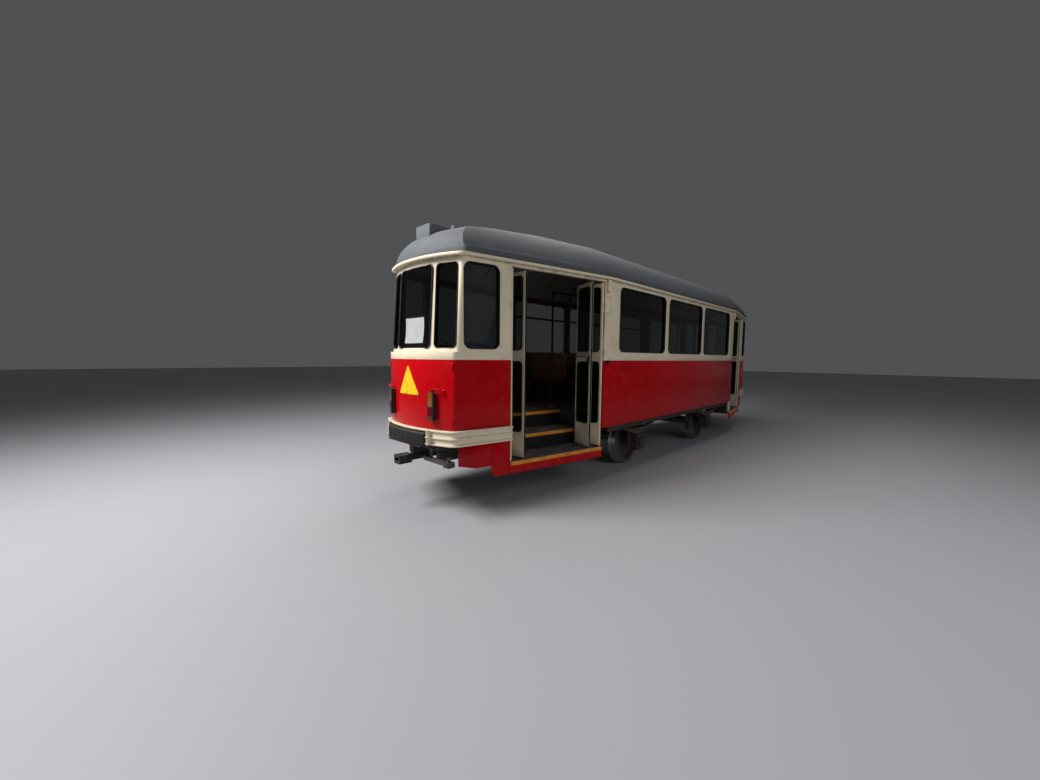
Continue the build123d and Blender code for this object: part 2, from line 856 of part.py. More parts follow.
def wheelset():
    """Two flanged wheels pressed on an axle, each half turned from one section about the axle's line."""
    flange_r = wheel_radius + flange_depth
    bore_r = wheel_radius - rim_depth
    back = wheel_back_spacing / 2
    rim_outer = back + rim_width
    hub_mid = back + rim_width / 2
    hub_inner, hub_outer = hub_mid - hub_length / 2, hub_mid + hub_length / 2
    web_inner, web_outer = hub_mid - web_thickness / 2, hub_mid + web_thickness / 2
    profile = [
        (axle_radius, hub_inner),
        (hub_radius, hub_inner),
        (hub_radius, web_inner),
        (bore_r, web_inner),
        (bore_r, back),
        (flange_r, back + flange_edge),
        (flange_r, back + flange_width - flange_root),
        (wheel_radius + tread_rise, back + flange_width),
        (wheel_radius, rim_outer),
        (bore_r, rim_outer),
        (bore_r, web_outer),
        (hub_radius, web_outer),
        (hub_radius, hub_outer),
        (axle_radius, hub_outer),
    ]
    half_axle = [
        (0, 0),
        (axle_radius, 0),
        (axle_radius, journal_start),
        (journal_radius, journal_start + journal_chamfer),
        (journal_radius, journal_end),
        (0, journal_end),
    ]
    half = fuse([revolve(polygon(points), axis=Axis.Y) for points in (profile, half_axle)])
    return Pos(0, 0, axle_height) * fuse([half, left(half)])


def four_corners(right):
    """A piece of the rear door-side axle end, repeated at all four."""
    both = [right, left(right)]
    return [Pos(side * wheelbase / 2, 0, 0) * piece for side in (-1, 1) for piece in both]


def axleboxes():
    """Cast boxes on the journals, held between horn guides that hang from the sole bar."""
    box = block(
        -axlebox_half_length,
        axlebox_half_length,
        axlebox_inner,
        axlebox_outer,
        axle_height - axlebox_half_height,
        axle_height + axlebox_half_height,
    )
    box = fillet(box.edges().filter_by(Axis.Y), axlebox_corner)
    cover_end = axlebox_outer + axlebox_cover_depth
    cover = cylinder_y(0, axlebox_outer, cover_end, axle_height, axlebox_cover_radius)
    bore_end = journal_end + journal_cover_gap
    bore = cylinder_y(0, axlebox_inner - 1, bore_end, axle_height, journal_radius + journal_clearance)
    pieces = [box + cover - bore]
    plane = Plane(origin=(0, horn_guide_inner, 0), x_dir=(1, 0, 0), z_dir=(0, -1, 0))
    for side in (-1, 1):
        x0 = side * axlebox_half_length
        outline = [
            (x0, axle_height - axlebox_half_height),
            (x0 + side * horn_guide_foot, axle_height - axlebox_half_height),
            (x0 + side * horn_guide_spread, sole_bar_bottom),
            (x0, sole_bar_bottom),
        ]
        pieces.append(extrude(plane * polygon(outline), amount=horn_guide_thickness, dir=(0, 1, 0)))
    return group(four_corners(left(fuse(pieces))))


def leaf_springs():
    """A stack of spring leaves over each axlebox, hung by its ends from the sole bar."""
    base = axle_height + axlebox_half_height
    y0, y1 = -spring_centre - spring_width / 2, -spring_centre + spring_width / 2
    plane = Plane(origin=(0, -spring_centre, 0), x_dir=(1, 0, 0), z_dir=(0, -1, 0))
    pieces = []
    for i in range(spring_leaf_count):
        half_span = spring_half_span * (1 - spring_step * i)
        low = base + (spring_leaf_count - 1 - i) * spring_leaf_thickness
        high = low + spring_leaf_thickness
        rise = spring_camber * (half_span / spring_half_span) ** 2
        lower = ThreePointArc((-half_span, low + rise), (0, low), (half_span, low + rise))
        upper = ThreePointArc((half_span, high + rise), (0, high), (-half_span, high + rise))
        face = Face(Wire([lower, Line(lower @ 1, upper @ 0), upper, Line(upper @ 1, lower @ 0)]))
        pieces.append(extrude(plane * face, amount=spring_width / 2, both=True))
    top = base + spring_leaf_count * spring_leaf_thickness
    rim = spring_buckle_rim
    half = spring_buckle_half_length
    pieces.append(block(-half, half, y0 - rim, y1 + rim, base, top + rim))
    eye_height = base + (spring_leaf_count - 1) * spring_leaf_thickness + spring_camber
    for side in (-1, 1):
        x = side * spring_half_span
        x0, x1 = x - spring_leaf_thickness, x + spring_leaf_thickness
        pieces.append(cylinder_y(x, y0, y1, eye_height, spring_eye_radius))
        pieces.append(block(x0, x1, y0, y1, eye_height, sole_bar_bottom))
    return group(four_corners(fuse(pieces)))


def brake_rigging():
    """Brake blocks on the inward side of each wheel, on a beam hung from the underframe."""
    tread_mid = wheel_back_spacing / 2 + flange_width + (rim_width - flange_width) / 2
    inner_r = wheel_radius + shoe_gap
    outer_r = inner_r + shoe_thickness
    beam_x = (outer_r - brake_hanger_half_thickness, outer_r + brake_hanger_half_thickness)
    pieces = []
    for side in (-1, 1):
        y0, y1 = side * tread_mid - shoe_width / 2, side * tread_mid + shoe_width / 2
        arc = cylinder_y(0, y0, y1, axle_height, outer_r) - cylinder_y(0, y0, y1, axle_height, inner_r)
        z0, z1 = axle_height - shoe_half_height, axle_height + shoe_half_height
        pieces.append(arc & block(0, outer_r, y0, y1, z0, z1))
        h0, h1 = side * tread_mid - brake_hanger_half_width, side * tread_mid + brake_hanger_half_width
        pieces.append(block(*beam_x, h0, h1, axle_height - brake_beam_half_height, cross_member_bottom))
    reach = tread_mid + brake_beam_overhang
    beam_z = (axle_height - brake_beam_half_height, axle_height + brake_beam_half_height)
    pieces.append(block(*beam_x, -reach, reach, *beam_z))
    rear = Pos(-wheelbase / 2, 0, 0) * fuse(pieces)
    return group([rear, front(rear)])


def sole_bars():
    """The long bars under the saloon's sides, each with two jacking pads below."""
    x_end = saloon_frame_reach + cross_member_width / 2
    right = block(-x_end, x_end, -sole_bar_outer, -sole_bar_inner, sole_bar_bottom, frame_top)
    middle = (sole_bar_outer + sole_bar_inner) / 2
    for side in (-1, 1):
        x = side * (saloon_frame_reach - jacking_pad_set_back)
        pad = block(
            x - jacking_pad_half_length,
            x + jacking_pad_half_length,
            -middle - jacking_pad_half_width,
            -middle + jacking_pad_half_width,
            sole_bar_bottom - jacking_pad_thickness,
            sole_bar_bottom,
        )
        right += pad
    return group([right, left(right)])


def cross_members():
    """Members between the sole bars."""
    members = []
    for place in cross_member_places:
        for x in sorted({place, -place}):
            x0, x1 = x - cross_member_width / 2, x + cross_member_width / 2
            members.append(block(x0, x1, -sole_bar_inner, sole_bar_inner, cross_member_bottom, frame_top))
    return group(members)


def centre_sills():
    """Lengths of centre sill between the cross members."""
    places = sorted({side * place for place in cross_member_places for side in (-1, 1)})
    sills = []
    for a, b in zip(places, places[1:]):
        x0, x1 = a + cross_member_width / 2, b - cross_member_width / 2
        right = block(x0, x1, -centre_sill - centre_sill_width, -centre_sill, cross_member_bottom, frame_top)
        sills += [right, left(right)]
    return group(sills)


def platform_sills():
    """Dropped sills of the rear platform, its headstock and the post that the drawbar turns on."""
    x_end = body_half_length - headstock_set_back
    near = saloon_frame_reach + cross_member_width / 2
    outer = centre_sill + centre_sill_width
    pieces = []
    for side in (-1, 1):
        y0, y1 = side * centre_sill, side * outer
        pieces.append(block(-x_end, -near, y0, y1, end_sill_bottom, end_sill_top))
        pieces.append(block(-near - end_sill_drop_width, -near, y0, y1, end_sill_bottom, frame_top))
    x0, x1 = -x_end, -x_end + headstock_thickness
    pieces.append(block(x0, x1, -headstock_half_width, headstock_half_width, end_sill_top, frame_top))
    pieces.append(block(x0, x1, -outer, outer, drawbar_top + link_arm_thickness, end_sill_top))
    x0, x1 = -drawbar_pivot - pivot_block_half_length, -drawbar_pivot + pivot_block_half_length
    pieces.append(block(x0, x1, -outer, outer, drawbar_top + drawbar_slack, end_sill_top))
    low, high = drawbar_bottom - drawbar_slack, end_sill_top
    pieces.append(cylinder_z(-drawbar_pivot, 0, low, high, draw_pin_radius))
    return fuse(pieces)


def drawbar():
    """Rear drawbar: an eye round the pivot post, a bar, and a box head that takes the coupling pin."""
    head_x = -(body_half_length + drawbar_reach)
    bar = block(
        head_x + drawbar_mouth_depth,
        -drawbar_pivot,
        -drawbar_half_width,
        drawbar_half_width,
        drawbar_bottom + drawbar_bar_inset,
        drawbar_top - drawbar_bar_inset,
    )
    eye_low, eye_high = drawbar_bottom + drawbar_slack, drawbar_top - drawbar_slack
    eye = cylinder_z(-drawbar_pivot, 0, eye_low, eye_high, drawbar_eye_radius)
    head = block(
        head_x,
        head_x + drawbar_head_length,
        -drawbar_head_half_width,
        drawbar_head_half_width,
        drawbar_bottom,
        drawbar_top,
    )
    head = fillet(head.edges().filter_by(Axis.Z), drawbar_head_corner)
    mouth = block(
        head_x - 1,
        head_x + drawbar_mouth_depth,
        -drawbar_mouth_half_width,
        drawbar_mouth_half_width,
        drawbar_bottom + drawbar_mouth_inset,
        drawbar_top - drawbar_mouth_inset,
    )
    low, high = drawbar_bottom - 1, drawbar_top + 1
    whole = fuse([bar, eye, head]) - mouth
    whole -= cylinder_z(-drawbar_pivot, 0, low, high, draw_pin_radius + journal_clearance)
    return whole - cylinder_z(head_x + coupling_pin_set_back, 0, low, high, coupling_pin_radius)


def coupling_link():
    """The spare link stowed sideways below the rear end, in a hanger, with a pin through its round head."""
    x = -body_half_length + link_set_back
    half = link_bar_half_width
    top = link_height + link_thickness
    bar = block(x - half, x + half, -link_head_offset, -link_foot_offset, link_height, top)
    head = cylinder_z(x, -link_head_offset, link_height, top, link_head_radius)
    pin_low = link_height - (link_pin_length - link_thickness) / 4
    pin = cylinder_z(x, -link_head_offset, pin_low, pin_low + link_pin_length, link_pin_radius)
    y0, y1 = -link_hanger_offset - link_hanger_width, -link_hanger_offset
    arm_top = link_arm_bottom + link_arm_thickness
    strap = block(x, x + link_hanger_thickness, y0, y1, top, arm_top)
    arm = block(x, -(body_half_length - headstock_set_back), y0, y1, link_arm_bottom, arm_top)
    return fuse([bar, head, pin, strap, arm])


def seats():
    """Crosswise seats, double on the blind side and single on the door side."""
    section = [
        (0, floor_top),
        (60, floor_top),
        (110, seat_height - 70),
        (430, seat_height - 50),
        (440, seat_height),
        (60, seat_height - 15),
        (-20, seat_height + seat_back_rise),
        (-62, seat_height + seat_back_rise - 5),
        (-40, seat_height - 60),
        (40, seat_height - 80),
    ]
    outline = polygon(section)
    inner = half_width - wall - seat_wall_gap
    first, last = -saloon_half_length + seat_first_row, saloon_half_length - seat_last_row
    pieces = []
    for row in range(seat_rows):
        x = first + row * (last - first) / (seat_rows - 1)
        for y0, y1 in ((-inner, -inner + single_seat_width), (inner - double_seat_width, inner)):
            plane = Plane(origin=(x, y1, 0), x_dir=(1, 0, 0), z_dir=(0, -1, 0))
            pieces.append(extrude(plane * outline, amount=y1 - y0, dir=(0, -1, 0)))
    return group(pieces)


def handrails():
    """Posts from the floor to a rail under the ceiling on each side of the gangway."""
    x_end = saloon_half_length - handrail_set_back
    frames = []
    for y in handrail_places:
        rail = Pos(0, y, handrail_height) * Rot(0, 90, 0) * Cylinder(handrail_radius, 2 * x_end)
        ends = [Pos(x, y, handrail_height) * Sphere(handrail_radius) for x in (-x_end, x_end)]
        posts = [cylinder_z(x, y, floor_top, handrail_height, handrail_radius) for x in (-x_end, x_end)]
        frames.append(fuse([rail] + ends + posts))
    return group(frames)


def brake_column():
    """The hand brake's column on the rear platform, with its wheel on top."""
    x, y = -body_half_length + brake_column_set_back, brake_column_offset
    top = floor_top + brake_column_height
    foot = cylinder_z(x, y, floor_top, floor_top + brake_foot_thickness, brake_foot_radius)
    column = cylinder_z(x, y, floor_top, top, brake_column_radius)
    rim_height = top + brake_wheel_rim
    rim = Pos(x, y, rim_height) * Torus(brake_wheel_radius, brake_wheel_rim)
    hub = cylinder_z(x, y, top, top + 2 * brake_wheel_rim, brake_column_radius + brake_wheel_rim)
    bar = Rot(0, 90, 0) * Cylinder(brake_wheel_rim / 2, brake_wheel_radius)
    spoke = Pos(brake_wheel_radius / 2, 0, 0) * bar
    turns = [360 * i / brake_wheel_spokes for i in range(brake_wheel_spokes)]
    spokes = [Pos(x, y, rim_height) * Rot(0, 0, turn) * spoke for turn in turns]
    return fuse([foot, column, hub, rim] + spokes)


def build():
    """Every sub-part by name."""
    nodes = {}
    rear_panels = end_panels()
    rear_frame, header = end_frame()
    nodes["end_panels_rear"] = rear_panels
    nodes["end_panels_front"] = front(rear_panels)
    nodes["end_frame_rear"] = rear_frame
    nodes["end_frame_front"] = front(rear_frame)
    nodes["door_headers"] = group([header, front(header)])
    nodes["side_panels"] = side_panels()
    nodes["saloon_frames"] = saloon_frames()
    glass = end_glass()
    nodes["platform_glass"] = group(glass + [front(sheet) for sheet in glass])
    nodes["saloon_glass"] = saloon_glass()
    nodes["window_rails"] = window_rails()
    nodes["roof"] = roof()
    nodes["drip_rail"] = drip_rail()
    nodes["roof_fittings"] = group(roof_fittings(roof_body(roof_set_in)))
    nodes["bumper_bands"] = bumper_bands()
    nodes["buffers"] = buffers()
    nodes["tail_lamps"], nodes["tail_lenses"] = tail_lamps()
    nodes["skirts"] = skirts()
    well = step_well()
    nodes["step_well_rear"] = well
    nodes["step_well_front"] = front(well)
    strips = step_nosings()
    nodes["step_nosings"] = group(strips + [front(strip) for strip in strips])
    nodes["floor"] = floor()
    nodes["sole_bars"] = sole_bars()
    nodes["cross_members"] = cross_members()
    nodes["centre_sills"] = centre_sills()
    sills = platform_sills()
    nodes["platform_sills"] = group([sills, front(sills)])
    bar = drawbar()
    nodes["drawbar_rear"] = bar
    nodes["drawbar_front"] = front(bar)
    nodes["coupling_link"] = coupling_link()
    nodes["axleboxes"] = axleboxes()
    nodes["leaf_springs"] = leaf_springs()
    nodes["brake_rigging"] = brake_rigging()
    nodes["seats"] = seats()
    nodes["handrails"] = handrails()
    column = brake_column()
    nodes["brake_columns"] = group([column, front(column)])
    gear = wheelset()
    nodes["wheelset_rear"] = Pos(-wheelbase / 2, 0, 0) * gear
    nodes["wheelset_front"] = Pos(wheelbase / 2, 0, 0) * gear
    near = leaf_pair(near_pair_fold, False)
    far = leaf_pair(far_pair_fold, True)
    for number, (frame, panes) in enumerate(near + far[::-1], start=1):
        nodes[f"leaf_rear_{number}"] = frame
        nodes[f"leaf_glass_rear_{number}"] = panes
        nodes[f"leaf_front_{number}"] = front(frame)
        nodes[f"leaf_glass_front_{number}"] = group([front(panes)])
    return nodes


os.makedirs("parts", exist_ok=True)
for name, shape in build().items():
    export_step(shape, f"parts/{name}.step")
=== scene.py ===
"""Looks of a two-axle tram trailer car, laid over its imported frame. Metres, in the frame of the car."""

from math import asin, cos, hypot, pi, radians, sin, sqrt, tan

import bmesh
import bpy
from bpy.props import FloatProperty, FloatVectorProperty, IntProperty, PointerProperty
from mathutils import Matrix, Vector
from mathutils.bvhtree import BVHTree
from mathutils.kdtree import KDTree


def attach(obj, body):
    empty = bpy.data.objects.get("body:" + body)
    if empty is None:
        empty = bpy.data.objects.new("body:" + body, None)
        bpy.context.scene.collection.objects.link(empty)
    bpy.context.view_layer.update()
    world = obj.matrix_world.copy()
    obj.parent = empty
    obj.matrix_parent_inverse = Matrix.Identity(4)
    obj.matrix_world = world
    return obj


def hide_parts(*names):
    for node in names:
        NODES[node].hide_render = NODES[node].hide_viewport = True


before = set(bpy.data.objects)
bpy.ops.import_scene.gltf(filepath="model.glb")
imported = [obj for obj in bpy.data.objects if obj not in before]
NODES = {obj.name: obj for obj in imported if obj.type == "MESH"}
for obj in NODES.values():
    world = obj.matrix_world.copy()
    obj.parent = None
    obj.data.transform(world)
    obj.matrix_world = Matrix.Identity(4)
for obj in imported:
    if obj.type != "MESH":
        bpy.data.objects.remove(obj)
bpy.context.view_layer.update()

bl_info = {
    "name": "Tram trailer car",
    "version": (1, 0, 0),
    "blender": (4, 5, 0),
    "location": "View3D > Sidebar > Tram",
    "description": "Dresses the packed frame of a two-axle tram trailer car",
    "category": "Object",
}

# Sizes of the car that its dressing follows
RAIL_TOP = 0.027
SALOON_HALF = 2.6
HALF_WIDTH = 1.09
BODY_HALF = 5.1
END_RADIUS = 1.667
ARC_CENTRE = BODY_HALF - END_RADIUS
TAPER = (HALF_WIDTH - 0.68) / (BODY_HALF - 0.145 - SALOON_HALF)
WALL = 0.06
BELT_TOP = RAIL_TOP + 1.775
EAVES = RAIL_TOP + 2.827
FLOOR_TOP = RAIL_TOP + 0.905
SILL_TOP = RAIL_TOP + 0.475
SECOND_STEP_TOP = RAIL_TOP + 0.682
STEP_DEPTH = 0.45
WINDOW_TOP = RAIL_TOP + 2.735
BELT_LEDGE = 0.04
WINDOW_LEAN = (0.105 - BELT_LEDGE) / (EAVES - BELT_TOP)
WINDOW_PITCH = 1.6
HOPPER_RAIL = WINDOW_TOP - 0.3
DOOR_NEAR = 0.863
DOOR_FAR = 2.4
DOOR_MIDDLE = BODY_HALF - (DOOR_NEAR + DOOR_FAR) / 2
RUN = 1 / sqrt(1 + TAPER**2)
RISE = TAPER * RUN
DOOR_HALF = (DOOR_FAR - DOOR_NEAR) / 2 / RUN
LEAF_THICKNESS = 0.032
LEAF_AXIS = 0.006 + LEAF_THICKNESS / 2
LEAF_REACH = (DOOR_HALF - LEAF_AXIS - 0.006) / 2
LEAF_BOTTOM = RAIL_TOP + 0.5
LEAF_TOP = RAIL_TOP + 2.742
LEAF_RAIL = RAIL_TOP + 1.74
FOLDS = {1: 76.5, 2: 76.5, 3: 77.5, 4: 77.5}
BAND_BOTTOM = RAIL_TOP + 0.75
BAND_DEPTH = 0.034
BAND_GAPS = (0.0475, 0.1225)
BUFFER_REACH = 0.1
BUFFER_MIDDLE = RAIL_TOP + 0.81
LAMP_OFFSET = 0.418
LAMP_DEPTH = 0.056
LAMP_BOTTOM = RAIL_TOP + 1.018
LAMP_MIDDLE = RAIL_TOP + 1.174
LAMP_TOP = RAIL_TOP + 1.33
LINK_FACE = -BODY_HALF + 0.039
SEAT_TOP = FLOOR_TOP + 0.43
SEAT_ROWS = [-1.95 + 0.8 * row for row in range(5)]
SEAT_SPANS = ((-1.005, -0.575), (0.155, 1.005))
HANDRAIL_HEIGHT = FLOOR_TOP + 1.88
HANDRAILS = (-0.54, 0.12)
ROOF_HALF = 1.112
ROOF_SHOULDER_INSET = 0.37
ROOF_SHOULDER_TOP = RAIL_TOP + 3.283
ROOF_SHOULDER_DROP = 0.468
ROOF_SLOPE = radians(22.4)
DOME_AXIS = ARC_CENTRE - 0.125
DOME_REACH = END_RADIUS + 0.05 - 0.028 - 0.25
DOME_SHOULDER_TOP = RAIL_TOP + 3.162
DOME_SLOPE = radians(9.2)
FAIRING_LENGTH = 1.2
BRAKE_PLACE = (BODY_HALF - 0.33, -0.3, FLOOR_TOP + 0.92)
AXLEBOX_FACE = 1.064
SPRING_LINE = 0.975
SOLE_BAR_FACE = 1.025
ENDS = (("rear", -1), ("front", 1))
SIDE_OF = dict(ENDS)
HANDS = (-1, 1)
ALONG = Vector((1.0, 0.0, 0.0))
ACROSS = Vector((0.0, 1.0, 0.0))
UP = Vector((0.0, 0.0, 1.0))
DOOR_BODIES = [f"leaf_{end}_{n}" for end, _ in ENDS for n in (1, 2, 3, 4)]

# Steps: each one's start inwards from the wall and its height, the red edge, and the ribbed part
STEPS = ((0.0, SILL_TOP), (STEP_DEPTH, SECOND_STEP_TOP), (2 * STEP_DEPTH, FLOOR_TOP))
STEP_EDGE = 0.045
TREAD_START, TREAD_DEPTH = 0.035, STEP_DEPTH - 0.05

# Stage: how far the floor reaches, its colour and the sky's, and each light's size, place and aim
FLOOR_REACH = 60.0
FLOOR_COLOR = (0.34, 0.345, 0.36, 1.0)
SKY_COLOR = (0.8, 0.82, 0.86, 1.0)
LIGHTS = {
    "key": (3.5, (-9.5, 2.4, 7.2), (-5.0, 0.0, 1.6)),
    "fill": (5.0, (-3.5, -8.0, 4.5), (-2.5, -0.9, 1.5)),
    "top": (7.0, (0.0, 1.0, 8.5), (0.0, 0.0, 0.0)),
}

# Walls: how near a face is to a pane's rim when it lines the opening, the width from which an end's pane
# is the wide middle one, how far the beads stand out, and the places of the hoppers' catches, the header
# brackets and the door buttons
WALL_LINING = 0.036
LEAF_LINING = 0.012
WIDE_PANE = 0.5
END_BEAD, END_CORNER_BEAD, SIDE_BEAD = 0.006, 0.02, WALL / 2 - 0.003
CATCH_LINE = HALF_WIDTH - WALL / 2 - 0.012
BRACKET_BACK, BRACKET_HEIGHT = DOOR_FAR + 0.06, RAIL_TOP + 2.71
BUTTON_BACK, BUTTON_HEIGHT = DOOR_FAR + 0.07, RAIL_TOP + 1.66

# Roof trim: where the seams lie and their section, run and rise; the fairings' grid, depth and tuck at
# the rim; a height that is clear of the roof; the places of the box bolts and the vents
SEAM_PLACES = (-3.9, -2.6, -1.3, 0.0, 1.3, 2.6, 3.9)
SEAM_MARGIN, SEAM_STEPS = 0.08, 40
SEAM_SECTION = ((-0.02, -0.001), (-0.017, 0.0015), (0.017, 0.0015), (0.02, -0.001))
FAIRING_ROWS, FAIRING_COLUMNS = 25, 33
FAIRING_DEPTH = 0.02
FAIRING_TUCK = 0.003
ABOVE = 5.0
BOX_BOLTS = [(x, y) for x in (-4.84, -4.69, -4.54) for y in (-0.162, 0.162)]
VENT_PLACE = (4.44, RAIL_TOP + 3.25)

# Doors: how far the beads stand out, the heights of the hinge plates and of the screws about each one's
# middle, an inner leaf's bar, and the lever's parts by distance out, drop and size
LEAF_BEAD_OUT = 0.012
HINGE_PLATES = (LEAF_BOTTOM + 0.18, BELT_TOP, LEAF_TOP - 0.12)
HINGE_SCREWS = (-0.04, 0.0, 0.04)
BAR_INSET, BAR_OUT = 0.045, 0.04
LEVER_BACK = 0.022
LEVER_PARTS = (
    (0.002, 0.04, (0.03, 0.11, 0.004)),
    (0.014, 0.03, (0.018, 0.018, 0.028)),
    (0.03, 0.055, (0.02, 0.085, 0.014)),
)

# End trim, by distance from the middle plane and height
BAND_SCREW_PAIRS, BAND_SCREW_ASIDE = 0.432, 0.62
BAND_SCREWS_BACK = (0.3, 0.56, 0.82)
BUFFER_BOLTS = (0.08, 0.2, 0.32)
CLAMP_ASIDE, CLAMP_HEIGHTS = 0.404, (0.873, 0.8)
CLIP_ASIDE, CLIP_HEIGHTS = 0.655, (1.65, 1.04)
HANDLE_FEET, HANDLE_HEIGHT = (0.402, 0.554), 1.374
HANDLE_RUN = (
    (0.402, HANDLE_HEIGHT, 0.0),
    (0.406, 1.378, 0.042),
    (0.478, 1.405, 0.052),
    (0.55, 1.378, 0.042),
    (0.554, HANDLE_HEIGHT, 0.0),
)
SIGN_CORNERS = ((0.01, 1.652), (-0.2, 1.313), (0.22, 1.313))
SIGN_ROUNDING = 0.03
SIGN_STEPS = 6
NOTICE_PLACE, NOTICE_SIZE = (0.01, 2.045), (0.38, 0.29)
NOTICE_STEPS = 12

# Seats: the back's lean and foot, the pads with their piping, and the frames and grips by run and height
SEAT_LEAN = radians(9.37)
SEAT_BACK_FOOT = (-0.012, SEAT_TOP + 0.235)
CUSHION_DEPTH, CUSHION_THICKNESS, CUSHION_MIDDLE = 0.36, 0.046, 0.252
BACK_THICKNESS, BACK_HEIGHT = 0.04, 0.43
PAD_EDGE = 0.03
PAD_PRESSURE = 4.0
DOUBLE_SEAT = 0.6
DENT_DEPTH, DENT_HALF = 0.007, 0.03
PIPING_ROUNDING, PIPING_RISE = 0.02, 0.012
SEAT_FRAME = (
    (0.0, FLOOR_TOP),
    (0.06, FLOOR_TOP),
    (0.112, SEAT_TOP - 0.11),
    (0.42, SEAT_TOP - 0.093),
    (0.42, SEAT_TOP - 0.085),
    (0.08, SEAT_TOP - 0.085),
    (-0.018, SEAT_TOP + 0.43),
    (-0.058, SEAT_TOP + 0.45),
    (-0.04, SEAT_TOP - 0.06),
    (0.04, SEAT_TOP - 0.08),
)
GRIP_CORNER = (-0.045, SEAT_TOP + 0.44)
GRIP_RUN = ((-0.12, 0.0), (-0.12, 0.022), (0.005, 0.022), (0.005, -0.14))

# Interior: the slats' length, middles and first row, ceiling ribs and lamps, posts and straps
SLATS = {"aisle": (4.7, (0.0,), -0.52), "platform": (1.8, (-3.55, 3.55), 0.1)}
SLAT_COUNT, SLAT_PITCH = 13, 0.052
RIB_MARGIN, RIB_STEPS = 0.16, 24
CEILING_RIBS = [0.8 * i for i in range(-5, 6)]
CEILING_LAMPS = (-4.0, -2.0, -0.4, 1.2, 2.8, 4.0)
POST_PLACE = 2.39
STRAP_PLACES = [-1.92 + 0.48 * i for i in range(9)]
STRAP_GRIP = ((0.0, 0.005), (0.055, -0.085), (-0.055, -0.085))

# Gear: rivets, spring clips, the radii of the bolt circles and of the brake knob's turn, the link's bolts
RIVET_LINE = RAIL_TOP + 0.69
RIVET_PLACES = [-2.4 + 0.16 * i for i in range(31)]
SPRING_CLIPS = (-0.33, -0.2, 0.2, 0.33)
AXLEBOX_CIRCLE = 0.068
HUB_CIRCLE = 0.14
BRAKE_FOOT_CIRCLE = 0.062
BRAKE_KNOB_REACH = 0.17
LINK_BOLTS, LINK_LINE = (-0.395, -0.365), RAIL_TOP + 0.64

# The slot that a finish stands for where it isn't the slot of the same name
SLOTS = {
    "roof_paint": "grey_roof_paint",
    "lamp_housing": "black_housing",
    "sign_yellow": "orange_paint",
    "floor_wood": "floor_covering",
    "hide": "seat_covering",
    **dict.fromkeys(("black_paint", "brass", "lining_wood"), "dark_trim"),
    **dict.fromkeys(("rubber", "window_rubber", "step_rubber"), "black_rubber"),
    **dict.fromkeys(("paper", "opal_glass", "bright_metal"), "cream_paint"),
    **dict.fromkeys(("frame_metal", "spring_metal"), "black_frame_paint"),
}

# Radius, height and sides of each kind of screw, bolt and rivet head
HEADS = {
    "roof_box_bolts": (0.011, 0.012, 8),
    "leaf_screws": (0.0045, 0.0025, 8),
    "band_screws": (0.0065, 0.003, 10),
    "buffer_bolts": (0.011, 0.004, 12),
    "lamp_screws": (0.003, 0.002, 8),
    "nosing_screws": (0.005, 0.002, 8),
    "brake_foot_bolts": (0.009, 0.008, 6),
    "axlebox_bolts": (0.011, 0.009, 6),
    "sole_bar_rivets": (0.011, 0.007, 10),
    "link_bolts": (0.008, 0.008, 6),
    "hub_bolts": (0.012, 0.012, 6),
}

# Radius and height along each turned piece, from its foot
PROFILES = {
    "door_buttons": (
        *((0.034, 0.0), (0.034, 0.012), (0.028, 0.018)),
        *((0.016, 0.019), (0.015, 0.027), (0.008, 0.03)),
    ),
    "vent_collars": ((0.075, 0.0), (0.075, 0.006), (0.052, 0.012), (0.047, 0.03)),
    "hopper_catches": (
        *((0.016, 0.0), (0.016, 0.004), (0.007, 0.008), (0.007, 0.016)),
        *((0.013, 0.022), (0.013, 0.03), (0.006, 0.034)),
    ),
    "end_handle_feet": ((0.021, 0.0), (0.021, 0.004), (0.014, 0.009), (0.0105, 0.016)),
    "ceiling_lamp_rims": ((0.13, -0.004), (0.13, 0.012), (0.118, 0.02)),
    "ceiling_lamps": ((0.112, 0.012), (0.108, 0.03), (0.09, 0.05), (0.06, 0.064), (0.02, 0.07)),
    "rail_feet": ((0.045, 0.0), (0.045, 0.006), (0.032, 0.01), (0.024, 0.03), (0.019, 0.034)),
    "brake_knobs": ((0.012, 0.0), (0.01, 0.012), (0.017, 0.035), (0.02, 0.07), (0.015, 0.095), (0.006, 0.1)),
    "brake_caps": ((0.036, 0.0), (0.034, 0.012), (0.024, 0.022), (0.014, 0.026)),
    "axlebox_plugs": ((0.03, -0.002), (0.03, 0.004), (0.018, 0.008), (0.017, 0.014), (0.006, 0.015)),
}


